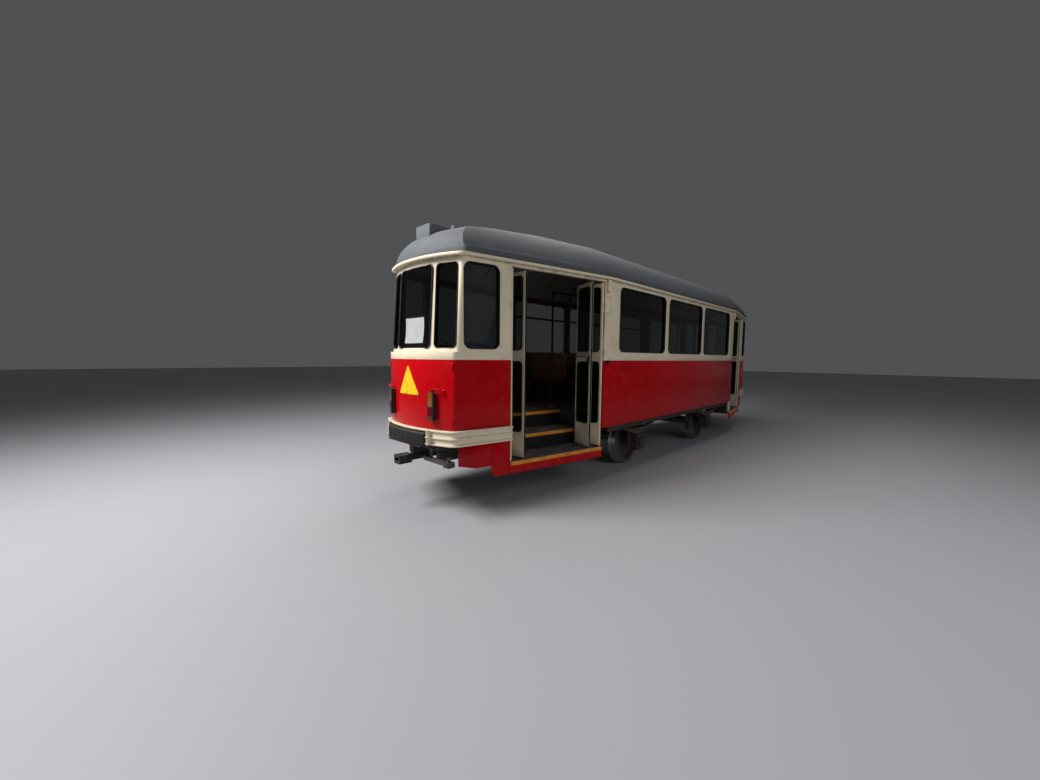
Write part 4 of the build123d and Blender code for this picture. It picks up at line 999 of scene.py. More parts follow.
def spread(points, step):
    """Points along a closed run, no further apart than a step."""
    out = []
    for a, b in zip(points, points[1:] + points[:1]):
        count = max(1, int((b - a).length / step))
        out += [a.lerp(b, i / count) for i in range(count)]
    return out


def near(runs, reach):
    """A test for places within reach of any of some closed runs of points."""
    points = [p for run in runs for p in spread(run, 0.01)]
    tree = KDTree(len(points))
    for i, point in enumerate(points):
        tree.insert(point, i)
    tree.balance()
    return lambda place: tree.find(place)[2] < reach


def crown_half(run):
    """Half the width of the roof's crown between its shoulders, this far from the middle of the car."""
    return ROOF_HALF - HALF_WIDTH + wall_line(run) - ROOF_SHOULDER_INSET


def saloon_roof(run, y):
    """Height of the saloon's roof: a crown arc, and a shoulder arc each side of it."""
    half = crown_half(run)
    if abs(y) <= half:
        bend = half / sin(ROOF_SLOPE)
        return ROOF_SHOULDER_TOP + half * tan(ROOF_SLOPE / 2) - bend + sqrt(bend**2 - y**2)
    chord = Vector((ROOF_SHOULDER_INSET, -ROOF_SHOULDER_DROP))
    inward = Vector((-sin(ROOF_SLOPE), -cos(ROOF_SLOPE)))
    bend = chord.length_squared / (2 * chord.dot(inward))
    out = abs(y) - half - bend * inward.x
    return ROOF_SHOULDER_TOP + bend * inward.y + sqrt(bend**2 - out**2)


def crown_edge(run):
    """How far from the middle plane the saloon's roof and the dome are level."""
    inner, outer = crown_half(run), crown_half(run) + ROOF_SHOULDER_INSET - 0.05
    for _ in range(20):
        middle = (inner + outer) / 2
        if saloon_roof(run, middle) > dome_crown(run, middle):
            inner = middle
        else:
            outer = middle
    return inner


def dome_crown(run, y):
    """Height of an end's dome inside its shoulder."""
    bend = DOME_REACH / sin(DOME_SLOPE)
    reach = min(DOME_REACH, hypot(run - DOME_AXIS, y))
    return DOME_SHOULDER_TOP + DOME_REACH * tan(DOME_SLOPE / 2) - bend + sqrt(bend**2 - reach**2)


def crown_lift(run, y):
    """How far the fairing between the saloon's crown and a dome stands above the dome."""
    part = (run - DOME_AXIS) / FAIRING_LENGTH
    edge = crown_edge(run) if 0.0 <= part < 1.0 else 0.0
    if abs(y) >= edge:
        return 0.0
    level = y / edge * crown_edge(DOME_AXIS)
    step = max(0.0, saloon_roof(DOME_AXIS, level) - dome_crown(DOME_AXIS, level))
    room = max(0.0, saloon_roof(run, y) - dome_crown(run, y))
    return min(room, step * (1 - part**2 * (3 - 2 * part)))


def wall_rule(outside, near_rim):
    """Paint outside, wood inside, rubber in the window openings."""

    def pick(place, normal):
        facing = normal.dot(outward(place))
        if abs(facing) < 0.5 and near_rim(place):
            return "window_rubber"
        return "lining_wood" if facing < -0.6 and place.z > FLOOR_TOP - 0.06 else outside

    return pick


def tint(name, description, default):
    """A colour for the panel."""
    return FloatVectorProperty(name=name, description=description, subtype="COLOR", size=3, default=default)


def measure(name, description, default, subtype="DISTANCE", **limits):
    """A number for the panel, a length unless told otherwise."""
    return FloatProperty(name=name, description=description, default=default, subtype=subtype, **limits)


class TramPaint(bpy.types.PropertyGroup):
    """Colours of the car."""

    red: tint("Red", "Lower panels", (0.46, 0.001, 0.004))
    cream: tint("Cream", "Belt, window frames, doors and bands", (0.78, 0.68, 0.5))
    roof: tint("Roof grey", "Roof and its fittings", (0.1, 0.107, 0.117))
    orange: tint("Orange", "Edges of the steps", (0.8, 0.3, 0.03))
    sign: tint("Sign yellow", "Blank triangle on each end", (0.9, 0.56, 0.01))
    # The glass is darkened as painted shade for the dim inside; the real glass is clear.
    glass: tint("Glass darkened as painted shade", "Windows", (0.3, 0.32, 0.32))


class TramGear(bpy.types.PropertyGroup):
    """Sizes of the running gear."""

    half_wheelbase: measure("Half wheelbase", "Axle from the middle of the car", 1.5)
    axle_height: measure("Axle height", "Axle above the flanges' foot", 0.407)
    tread_radius: measure("Tread radius", "Wheel's rolling radius", 0.38)


class TramView(bpy.types.PropertyGroup):
    """Camera and light."""

    lens: measure("Lens", "Focal length on a 36 mm sensor", 14.19, "NONE", min=1.0)
    heading: measure("Heading", "Camera's turn from the car's length", radians(44.28), "ANGLE")
    pitch: measure("Pitch", "Camera's tilt downwards", radians(4.61), "ANGLE")
    roll: measure("Roll", "Camera's roll", radians(0.58), "ANGLE")
    place: FloatVectorProperty(
        name="Place",
        description="Camera's place",
        subtype="TRANSLATION",
        size=3,
        default=(-7.587, -4.222, 1.754),
    )
    key: measure("Key light", "Light on the rear end", 1060.0, "NONE", unit="POWER")
    fill: measure("Fill light", "Light on the door side", 150.0, "NONE", unit="POWER")
    top: measure("Top light", "Light above", 380.0, "NONE", unit="POWER")
    sky: measure("Sky", "Strength of the even light all round", 0.1, "NONE", min=0.0)


class TramTrim(bpy.types.PropertyGroup):
    """Sizes of the small trim."""

    bead: measure("Window bead", "Radius of the rubber bead", 0.007)
    leaf_bead: measure("Leaf bead", "Radius of the bead in the door leaves", 0.006)
    tread_pitch: measure("Tread pitch", "Distance between a step's ribs", 0.028)
    pad_cell: measure("Pad cell", "Voxel size of the seat pads", 0.02)
    pad_swell: measure("Pad swell", "Most that a pad's skin may move", 0.012)
    pad_frames: IntProperty(name="Pad frames", description="Steps of the pads' simulation", default=20, min=1)


class TRAM_OT_stage(bpy.types.Operator):
    """Grey floor, soft light and the photograph's camera"""

    bl_idname = "tram.stage"
    bl_label = "Stage"

    def execute(self, context):
        view = context.scene.tram_view
        context.scene.view_settings.view_transform = "Standard"
        bm = bmesh.new()
        bmesh.ops.create_grid(bm, x_segments=1, y_segments=1, size=FLOOR_REACH)
        floor = new_object("stage_floor", bm)
        grey, _, shader = bare_material("stage_floor")
        shader.inputs["Base Color"].default_value = FLOOR_COLOR
        shader.inputs["Roughness"].default_value = 0.6
        floor.data.materials.append(grey)
        world = bpy.data.worlds.new("soft_sky")
        world.use_nodes = True
        for socket, value in zip(world.node_tree.nodes["Background"].inputs, (SKY_COLOR, view.sky)):
            socket.default_value = value
        context.scene.world = world
        for name, (size, place, aim) in LIGHTS.items():
            light = bpy.data.lights.new(name + "_light", "AREA")
            light.energy, light.size, light.shape = getattr(view, name), size, "SQUARE"
            lamp = bpy.data.objects.new(name + "_light", light)
            lamp.visible_glossy = name != "fill"
            way = Vector(place) - Vector(aim)
            lamp.matrix_world = Matrix.Translation(place) @ way.to_track_quat("Z", "Y").to_matrix().to_4x4()
            context.scene.collection.objects.link(lamp)
        camera = bpy.data.objects.new("camera", bpy.data.cameras.new("camera"))
        camera.data.lens, camera.data.sensor_width = view.lens, 36.0
        heading, pitch, roll = view.heading, view.pitch, view.roll
        ahead = Vector((cos(heading) * cos(pitch), sin(heading) * cos(pitch), -sin(pitch)))
        right = Vector((sin(heading), -cos(heading), 0.0))
        up = right.cross(ahead)
        axes = (cos(roll) * right + sin(roll) * up, cos(roll) * up - sin(roll) * right, -ahead)
        camera.matrix_world = Matrix.Translation(view.place) @ Matrix(axes).transposed().to_4x4()
        context.scene.collection.objects.link(camera)
        context.scene.camera = camera
        return {"FINISHED"}


class TRAM_OT_materials(bpy.types.Operator):
    """Finishes of the pieces whose shape stays as built"""

    bl_idname = "tram.materials"
    bl_label = "Materials"

    def execute(self, context):
        panes = [body.replace("leaf_", "leaf_glass_") for body in DOOR_BODIES]
        sills = ["sole_bars", "cross_members", "centre_sills", "platform_sills"]
        table = (
            ("glass", ["platform_glass", "saloon_glass", *panes]),
            ("black_paint", ["window_rails", "brake_columns", "drawbar_rear", "drawbar_front", "handrails"]),
            ("link_metal", ["coupling_link"]),
            ("floor_wood", ["floor"]),
            ("frame_metal", [*sills, "axleboxes", "brake_rigging"]),
            ("spring_metal", ["leaf_springs"]),
            ("wheel_steel", ["wheelset_rear", "wheelset_front"]),
        )
        for name, nodes in table:
            for node in nodes:
                for slot in NODES[node].material_slots:
                    slot.material = FINISH[name]
        return {"FINISHED"}


class TRAM_OT_walls(bpy.types.Operator):
    """Panels, window frames, door headers and drip rail with their paint and lining"""

    bl_idname = "tram.walls"
    bl_label = "Walls"

    def execute(self, context):
        rims = [rim for node in ("platform_glass", "saloon_glass") for rim, _ in pane_outlines(node)]
        near_rim = near(rims, WALL_LINING)
        red, cream = wall_rule("red_paint", near_rim), wall_rule("cream_paint", near_rim)
        for end, _ in ENDS:
            dressed(f"end_panels_{end}", "red_paint", red)
            dressed(f"end_frame_{end}", "cream_paint", cream)
        dressed("door_headers", "cream_paint", cream)
        dressed("side_panels", "red_paint", red)
        dressed("saloon_frames", "cream_paint", cream)
        dressed("drip_rail", "cream_paint", "cream_paint", 0.004)
        brackets, sills = [], []
        sill_line = HALF_WIDTH - WALL - 0.018
        for hand in HANDS:
            for end, side in ENDS:
                spot = on_side(end, BRACKET_BACK, BRACKET_HEIGHT, 0.008, hand)
                brackets.append(upright(spot, 0.075, 0.17, 0.05))
                place = Vector((side * WINDOW_PITCH * 0.75, hand * sill_line, BELT_TOP + 0.02))
                sills.append(upright((place, ACROSS * -hand), 2.3, 0.026, 0.05))
        slabs("header_brackets", brackets, "cream_paint", 0.012)
        buttons = [on_side(end, BUTTON_BACK, BUTTON_HEIGHT) for end, _ in ENDS]
        turned("door_buttons", buttons, "black_paint")
        slabs("window_sills", sills, "lining_wood", 0.008, slot="red_paint")
        return {"FINISHED"}


def crown_fairings():
    """A sheet at each end that carries the saloon's crown smoothly down onto the dome."""
    bm = bmesh.new()
    for _, side in ENDS:
        tops, feet = [], []
        for i in range(FAIRING_ROWS):
            run = DOME_AXIS + FAIRING_LENGTH * i / (FAIRING_ROWS - 1)
            tops.append([])
            feet.append([])
            for j in range(FAIRING_COLUMNS):
                y = crown_edge(run) * (2 * j / (FAIRING_COLUMNS - 1) - 1)
                lift = crown_lift(run, y)
                base = min(saloon_roof(run, y), dome_crown(run, y))
                tuck = FAIRING_TUCK * max(0.0, 1 - lift / FAIRING_DEPTH)
                tops[-1].append(bm.verts.new((side * run, y, base + lift - tuck)))
                feet[-1].append(bm.verts.new((side * run, y, base - FAIRING_DEPTH)))
        grid_faces(bm, tops)
        grid_faces(bm, feet)
        joined(bm, grid_rim(tops), grid_rim(feet))
    painted_object("crown_fairings", bm, "roof_paint", 40)


def roof_seams(skin):
    """Welted joints of the roof's sheets, laid on its surface from side to side."""
    bm = bmesh.new()
    for x in SEAM_PLACES:
        reach, last = wall_line(x) - SEAM_MARGIN, None
        for i in range(SEAM_STEPS + 1):
            y = reach * (2 * i / SEAM_STEPS - 1)
            row = []
            for run, up in SEAM_SECTION:
                hit, normal, *_ = skin.ray_cast(Vector((x + run, y, ABOVE)), -UP)
                row.append(bm.verts.new(hit + normal * up + UP * crown_lift(abs(x + run), y)))
            if last:
                joined(bm, last, row)
            else:
                bm.faces.new(row)
            last = row
        bm.faces.new(last)
    painted_object("roof_seams", bm, "roof_paint", 40)


class TRAM_OT_roof(bpy.types.Operator):
    """Roof with its fascia, ceiling and fittings"""

    bl_idname = "tram.roof"
    bl_label = "Roof"

    def execute(self, context):
        def pick(place, normal):
            inside = normal.dot(outward(place)) < -0.2 or normal.z < -0.2
            return "ceiling_paint" if inside else "roof_paint"

        dressed("roof", "grey_roof_paint", pick, 0.003)
        dressed("roof_fittings", "grey_roof_paint", "roof_paint", 0.006)
        crown_fairings()
        skin = surface("roof")
        roof_seams(skin)
        starts = [Vector((side * x, y, ABOVE)) for _, side in ENDS for x, y in BOX_BOLTS]
        bolts = [skin.ray_cast(start, -UP)[:2] for start in starts]
        heads("roof_box_bolts", bolts, "roof_paint")
        caps = [(Vector((side * VENT_PLACE[0], 0.0, VENT_PLACE[1])), UP) for _, side in ENDS]
        turned("vent_collars", caps, "roof_paint", 28)
        return {"FINISHED"}


class TRAM_OT_glazing(bpy.types.Operator):
    """Rubber beads round every fixed window, and the hoppers' catches"""

    bl_idname = "tram.glazing"
    bl_label = "Glazing"

    def execute(self, context):
        trim = context.scene.tram_trim
        runs = []
        for node in ("platform_glass", "saloon_glass"):
            for rim, normal in pane_outlines(node):
                wide = max((p - rim[0]).xy.length for p in rim) > WIDE_PANE
                step = END_BEAD if wide else END_CORNER_BEAD
                runs.append([p + normal * (step if abs(normal.x) > 0.8 else SIDE_BEAD) for p in rim])
        tubes("window_beads", runs, trim.bead, "window_rubber", closed=True, sides=8)
        spots = [(i * WINDOW_PITCH, hand) for hand in HANDS for i in (-1, 0, 1)]
        height = HOPPER_RAIL + 0.018
        catches = [(Vector((x, hand * CATCH_LINE, height)), ACROSS * -hand) for x, hand in spots]
        turned("hopper_catches", catches, "brass", 16)
        return {"FINISHED"}


def door_leaf(body, bead):
    """A leaf with its window rubbers."""
    panes = pane_faces(body.replace("leaf_", "leaf_glass_"))
    near_rim = near([rim for rim, _, _ in panes], LEAF_LINING)

    def pick(place, normal):
        lines = abs(normal.dot(panes[0][2])) < 0.5 and near_rim(place)
        return "window_rubber" if lines else "cream_paint"

    dressed(body, "cream_paint", pick, body=body)
    runs = [[p + normal * LEAF_BEAD_OUT for p in rim] for rim, _, normal in panes]
    tubes(body + "_beads", runs, bead, "window_rubber", closed=True, sides=8, body=body)


def leaf_fittings(body, frame_matrix, n):
    """Hinge plates on every leaf, an edge rubber and a push bar on each inner one, a lever on the third."""

    def at(x, y, z):
        return frame_matrix @ Vector((x, y, z))

    turn = frame_matrix.to_3x3()
    into, along = turn @ ACROSS, turn @ ALONG
    inner = n in (2, 3)
    x, y = (0.03, LEAF_THICKNESS) if inner else (LEAF_REACH - 0.036, LEAF_THICKNESS / 2)
    spots = [at(x, y + 0.0012, z) for z in HINGE_PLATES]
    plates = [upright((spot, into), 0.034, 0.11, 0.003) for spot in spots]
    slabs(body + "_hinge_plates", plates, "cream_paint", 0.001, body=body)
    points = [(spot + into * 0.002 + UP * dz, into) for spot in spots for dz in HINGE_SCREWS]
    heads(body + "_screws", points, "bright_metal", "leaf_screws", body=body)
    if not inner:
        return
    edge = at(LEAF_REACH + 0.0015, LEAF_THICKNESS / 2, (LEAF_BOTTOM + LEAF_TOP) / 2)
    rubber = [upright((edge, along), 0.024, LEAF_TOP - LEAF_BOTTOM - 0.01, 0.005)]
    slabs(body + "_edge_rubber", rubber, "rubber", 0.0015, body=body)
    ends = (BAR_INSET, LEAF_REACH - BAR_INSET)
    run = [(ends[0], 0.0), *((x, BAR_OUT) for x in ends), (ends[1], 0.0)]
    bar = [at(x, LEAF_THICKNESS + y, LEAF_RAIL) for x, y in run]
    tubes(body + "_push_bar", [bar], 0.009, "bright_metal", bend=0.025, sides=12, body=body)
    if n == 3:
        pieces = []
        for out, drop, size in LEVER_PARTS:
            place = at(LEAF_REACH - LEVER_BACK, LEAF_THICKNESS + out, LEAF_RAIL - drop)
            pieces.append(upright((place, into), *size))
        slabs(body + "_lever", pieces, "black_paint", 0.004, body=body)


class TRAM_OT_doors(bpy.types.Operator):
    """Folding leaves with their rubbers, levers, push bars and hinge plates"""

    bl_idname = "tram.doors"
    bl_label = "Doors"

    def execute(self, context):
        for end, _ in ENDS:
            for n in (1, 2, 3, 4):
                door_leaf(f"leaf_{end}_{n}", context.scene.tram_trim.leaf_bead)
                leaf_fittings(f"leaf_{end}_{n}", leaf_frame(end, n), n)
        return {"FINISHED"}


class TRAM_OT_ends(bpy.types.Operator):
    """Ribbed bands, buffers, skirts and tail lamps"""

    bl_idname = "tram.ends"
    bl_label = "Ends"

    def execute(self, context):
        def lens(place, normal):
            return "amber_lens" if place.z > LAMP_MIDDLE else "red_lens"

        dressed("bumper_bands", "cream_paint", "cream_paint", 0.004)
        dressed("buffers", "black_rubber", "rubber", 0.004)
        dressed("tail_lamps", "black_housing", "lamp_housing", 0.003)
        dressed("tail_lenses", "lamp_plastic", lens, 0.002)
        dressed("skirts", "red_paint", "red_paint", 0.003)
        screws, bolts, clamps = [], [], []
        gaps = [BAND_BOTTOM + gap for gap in BAND_GAPS]
        for end, hand in [(end, hand) for end, _ in ENDS for hand in HANDS]:
            pairs = [gap + dz for gap in gaps for dz in (-0.016, 0.016)]
            screws += [on_end(end, hand * BAND_SCREW_PAIRS, z, BAND_DEPTH) for z in pairs]
            screws += [on_end(end, hand * BAND_SCREW_ASIDE, z, BAND_DEPTH) for z in gaps]
            screws += [on_side(end, back, z, BAND_DEPTH, hand) for back in BAND_SCREWS_BACK for z in gaps]
            spots = [on_end(end, hand * CLAMP_ASIDE, z, 0.088) for z in CLAMP_HEIGHTS]
            clamps += [upright(spot, 0.04, 0.009, 0.032) for spot in spots]
            heights = (BUFFER_MIDDLE - 0.035, BUFFER_MIDDLE + 0.035)
            bolts += [on_end(end, hand * s, z, BUFFER_REACH) for s in BUFFER_BOLTS for z in heights]
        feet = [on_end(end, 0.0, BUFFER_MIDDLE - 0.079, BUFFER_REACH / 2) for end, _ in ENDS]
        plates = [upright(foot, 0.7, 0.008, 0.07) for foot in feet]
        heads("band_screws", screws, "cream_paint")
        heads("buffer_bolts", bolts, "black_paint", slot="black_rubber")
        slabs("buffer_plates", plates, "black_paint")
        slabs("buffer_clamps", clamps, "cream_paint", 0.002)
        return {"FINISHED"}


def warning_sign(end):
    """A blank triangle with rounded corners, bent to the bowed end."""
    corners = [Vector(corner) for corner in SIGN_CORNERS]
    outline = []
    for i, corner in enumerate(corners):
        start, stop = (
            corner + (corners[(i + turn) % 3] - corner).normalized() * SIGN_ROUNDING for turn in (-1, 1)
        )
        for t in [step / SIGN_STEPS for step in range(SIGN_STEPS + 1)]:
            outline.append(start.lerp(corner, t).lerp(corner.lerp(stop, t), t))
    bm = bmesh.new()
    bm.faces.new([bm.verts.new((p.x, 0.0, p.y)) for p in outline])
    for step in range(-SIGN_STEPS, SIGN_STEPS + 1):
        geometry = bm.verts[:] + bm.edges[:] + bm.faces[:]
        plane = (SIGN_CORNERS[0][0] + step * 0.03, 0.0, 0.0)
        bmesh.ops.bisect_plane(bm, geom=geometry, plane_co=plane, plane_no=ALONG)
    raised_faces = bmesh.ops.extrude_face_region(bm, geom=bm.faces[:])
    top = {v for v in raised_faces["geom"] if isinstance(v, bmesh.types.BMVert)}
    for vert in bm.verts:
        vert.co = on_end(end, vert.co.x, vert.co.z, 0.0035 if vert in top else 0.0005)[0]
    painted_object(f"warning_sign_{end}", bm, "sign_yellow")


def lamp_dividers():
    """The bar between each lamp's two lenses, and its screws."""
    dividers, screws = [], []
    for hand in HANDS:
        place, way = on_end("rear", hand * LAMP_OFFSET, LAMP_MIDDLE)
        dividers.append(upright((place + way * (LAMP_DEPTH + 0.0005), way), 0.066, 0.006, 0.004))
        for z in (LAMP_BOTTOM + 0.0035, LAMP_TOP - 0.0035):
            screws.append((Vector((place.x, place.y, z)) + way * LAMP_DEPTH, way))
    slabs("lamp_dividers", dividers, "lamp_housing", 0.001)
    heads("lamp_screws", screws, "bright_metal", slot="black_housing")


def window_notice():
    """A blank sheet stuck on the rear's middle pane, its corners lifting."""
    panes = [(rim, normal) for rim, normal in pane_outlines("platform_glass") if normal.x < -0.8]
    rim, normal = min(panes, key=lambda pane: abs(sum(p.y for p in pane[0])) / len(pane[0]))
    foot = sum(rim, Vector()) / len(rim)
    across = UP.cross(normal).normalized()
    up = normal.cross(across)
    aside, height = NOTICE_PLACE
    middle = foot - across * (foot.dot(across) - aside) + up * ((height - foot.z) / up.z)
    bm, rows = bmesh.new(), []
    parts = [i / NOTICE_STEPS - 0.5 for i in range(NOTICE_STEPS + 1)]
    for v in parts:
        rows.append([])
        for u in parts:
            curl = 0.003 + 0.03 * max(0.0, abs(u) + abs(v) - 0.7) + 0.001 * sin(9 * u + 4 * v)
            place = middle + across * u * NOTICE_SIZE[0] + up * v * NOTICE_SIZE[1] + normal * curl
            rows[-1].append(bm.verts.new(place))
    grid_faces(bm, rows)
    bmesh.ops.solidify(bm, geom=bm.faces[:], thickness=0.0006)
    painted_object("window_notice", bm, "paper", 60)


class TRAM_OT_end_fittings(bpy.types.Operator):
    """Signs, lamp dividers, handles, corner clips and the paper in the rear window"""

    bl_idname = "tram.end_fittings"
    bl_label = "End fittings"

    def execute(self, context):
        clips, feet, handles = [], [], []
        for end, _ in ENDS:
            warning_sign(end)
            for hand in HANDS:
                spots = [on_end(end, hand * CLIP_ASIDE, z, 0.004) for z in CLIP_HEIGHTS]
                clips += [upright(spot, 0.036, 0.052, 0.018) for spot in spots]
                handles.append([on_end(end, hand * s, z, out)[0] for s, z, out in HANDLE_RUN])
                feet += [on_end(end, hand * s, HANDLE_HEIGHT) for s in HANDLE_FEET]
        slabs("corner_clips", clips, "red_paint", 0.004)
        tubes("end_handles", handles, 0.0095, "red_paint", bend=0.03, sides=14)
        turned("end_handle_feet", feet, "red_paint", 18)
        lamp_dividers()
        window_notice()
        return {"FINISHED"}


class TRAM_OT_steps(bpy.types.Operator):
    """Step wells with their orange edges and ribbed treads"""

    bl_idname = "tram.steps"
    bl_label = "Steps"

    def execute(self, context):
        def pick(place, normal):
            return "red_paint" if inset(place) < STEP_EDGE else "black_paint"

        trim = context.scene.tram_trim
        for end, _ in ENDS:
            dressed(f"step_well_{end}", "red_paint", pick, 0.002)
        dressed("step_nosings", "orange_paint", "orange_paint", 0.001)
        ribs, screws = [], []
        count = int(TREAD_DEPTH / trim.tread_pitch)
        for end, _ in ENDS:
            door = door_frame(end)
            along, out = door.to_3x3() @ ALONG, door.to_3x3() @ -ACROSS
            for start, z in STEPS[:2]:
                depths = [start + TREAD_START + i * trim.tread_pitch for i in range(count)]
                ribs += [(door @ Vector((0.0, depth, z + 0.0015)), along) for depth in depths]
            for start, z in STEPS:
                screws += [(door @ Vector((u / 4, start - 0.006, z - 0.018)), out) for u in range(-3, 4)]
        bars("tread_ribs", ribs, 1.5, 0.009, 0.005, "step_rubber")
        heads("nosing_screws", screws, "bright_metal", slot="orange_paint")
        return {"FINISHED"}


def pad_pattern(name, size, trim, standing):
    """A pad's mesh about its own middle, filled by cloth simulation and held within a cap."""
    bm = bmesh.new()
    bmesh.ops.create_cube(bm, size=1.0, matrix=Matrix.Diagonal((*size, 1.0)))
    bmesh.ops.bevel(bm, geom=bm.edges[:], offset=min(size) * 0.4, segments=3, profile=0.5, affect="EDGES")
    obj = new_object(name, bm)
    even = obj.modifiers.new("even", "REMESH")
    even.mode, even.voxel_size = "VOXEL", trim.pad_cell
    kept(obj)
    rest = [v.co.copy() for v in obj.data.vertices]
    filled = obj.modifiers.new("fill", "CLOTH")
    filled.settings.use_pressure = True
    filled.settings.uniform_pressure_force = PAD_PRESSURE
    filled.settings.effector_weights.gravity = 0.0
    for step in range(1, trim.pad_frames + 1):
        bpy.context.scene.frame_set(step)
    kept(obj)
    bpy.context.scene.frame_set(1)
    low = -size[2] / 2
    for vert, start in zip(obj.data.vertices, rest):
        move = vert.co - start
        if move.length > trim.pad_swell:
            move *= trim.pad_swell / move.length
        place = start + move
        if not standing:
            place.z = max(place.z, low)
        if size[1] > DOUBLE_SEAT:
            dent = DENT_DEPTH * max(0.0, 1.0 - abs(place.y) / DENT_HALF)
            place -= (ALONG if standing else UP) * dent
        vert.co = place
    smoother = obj.modifiers.new("smoother", "SUBSURF")
    smoother.levels = smoother.render_levels = 1
    mesh = kept(obj).data
    mesh.name = name + "_pattern"
    bpy.data.objects.remove(obj)
    return mesh


def pad_copy(pattern, name, matrix, piping, way):
    """A pad in its place, and the run of its piping."""
    mesh = pattern.copy()
    mesh.transform(matrix)
    obj = new_object(name, mesh=mesh)
    mesh.materials.append(FINISH["seat_covering"])
    mesh.shade_smooth()
    placed(obj, "seat_covering", "root", "seats")
    middle = matrix.translation
    across = (UP.cross(way) if abs(way.z) < 0.9 else ALONG).normalized()
    over = way.cross(across)
    a, b = (max((v.co - middle).dot(axis) for v in mesh.vertices) + 0.001 for axis in (across, over))
    c, d = a - PIPING_ROUNDING, b - PIPING_ROUNDING
    corners = ((-a, -d), (-a, d), (-c, b), (c, b), (a, d), (a, -d), (c, -b), (-c, -b))
    piping.append([middle + across * p + over * q + way * PIPING_RISE for p, q in corners])


class TRAM_OT_seats(bpy.types.Operator):
    """Sprung seats: padded cushions and backs on steel frames with wooden shells"""

    bl_idname = "tram.seats"
    bl_label = "Seats"

    def execute(self, context):
        trim = context.scene.tram_trim
        frames, shells, grips, piping = [], [], [], []
        back_way = Vector((cos(SEAT_LEAN), 0.0, sin(SEAT_LEAN)))
        back_up = Vector((-sin(SEAT_LEAN), 0.0, cos(SEAT_LEAN)))
        for side_name, (y0, y1) in zip(("single", "double"), SEAT_SPANS):
            width, middle = y1 - y0, (y0 + y1) / 2
            aisle, hand = (y1, 1) if side_name == "single" else (y0, -1)
            wide = width - PAD_EDGE
            cushion = pad_pattern("cushion", (CUSHION_DEPTH, wide, CUSHION_THICKNESS), trim, False)
            back = pad_pattern("back", (BACK_THICKNESS, wide, BACK_HEIGHT), trim, True)
            for row, x in enumerate(SEAT_ROWS):
                place = Matrix.Translation((x + CUSHION_MIDDLE, middle, SEAT_TOP - CUSHION_THICKNESS))
                pad_copy(cushion, f"seat_cushion_{side_name}_{row}", place, piping, UP)
                foot = Vector((x + SEAT_BACK_FOOT[0], middle, SEAT_BACK_FOOT[1]))
                tilt = Matrix.Translation(foot) @ Matrix.Rotation(-SEAT_LEAN, 4, "Y")
                pad_copy(back, f"seat_back_{side_name}_{row}", tilt, piping, back_way)
                frames += [Vector((x, y, 0.0)) for y in (y0 + 0.05, y1 - 0.05)]
                board = foot - back_way * 0.033
                shells.append((board, back_way, back_up, (width - 0.02, 0.46, 0.01)))
                board = Vector((x + 0.25, middle, SEAT_TOP - 0.078))
                shells.append((board, UP, -ALONG, (wide, 0.35, 0.012)))
                corner = Vector((x + GRIP_CORNER[0], aisle - hand * 0.02, GRIP_CORNER[1]))
                run = [(-up * sin(SEAT_LEAN), hand * out, up) for out, up in GRIP_RUN]
                grips.append([corner + Vector(step) for step in run])
            for template in (cushion, back):
                bpy.data.meshes.remove(template)
        raised("seat_frames", SEAT_FRAME, frames, 0.01, "black_paint")
        slabs("seat_shells", shells, "lining_wood", 0.003)
        tubes("seat_piping", piping, 0.0045, "hide", closed=True, sides=6)
        tubes("seat_grips", grips, 0.009, "brass", bend=0.02, sides=12)
        return {"FINISHED"}


def rail_fittings():
    """Feet of the handrail posts, and leather straps with grips along the rails."""
    feet, straps, grips = [], [], []
    for y in HANDRAILS:
        feet += [(Vector((x, y, FLOOR_TOP)), UP) for x in (-POST_PLACE, POST_PLACE)]
        for x in STRAP_PLACES:
            top = Vector((x, y, HANDRAIL_HEIGHT))
            straps.append(upright((top - UP * 0.075, ACROSS), 0.024, 0.17, 0.0045))
            straps.append(upright((top + UP * 0.012, ACROSS), 0.024, 0.014, 0.042))
            grips.append([top - UP * 0.15 + ALONG * a + UP * b for a, b in STRAP_GRIP])
    turned("rail_feet", feet, "brass", 24)
    slabs("rail_straps", straps, "hide", 0.0015)
    tubes("rail_grips", grips, 0.0075, "brass", closed=True, bend=0.02, sides=12)


def brake_fittings():
    """Knob, cap and foot bolts of each hand brake."""
    knobs, caps, bolts = [], [], []
    x, y, z = BRAKE_PLACE
    for _, side in ENDS:
        knobs.append((Vector((side * (x - BRAKE_KNOB_REACH), y, z + 0.02)), UP))
        caps.append((Vector((side * x, y, z + 0.026)), UP))
        foot = Vector((side * x, y, FLOOR_TOP + 0.018))
        bolts += [(foot + ALONG * u + ACROSS * v, UP) for u, v in ring(6, BRAKE_FOOT_CIRCLE)]
    turned("brake_knobs", knobs, "lining_wood", 20)
    turned("brake_caps", caps, "brass", 24)
    heads("brake_foot_bolts", bolts, "frame_metal", slot="dark_trim")


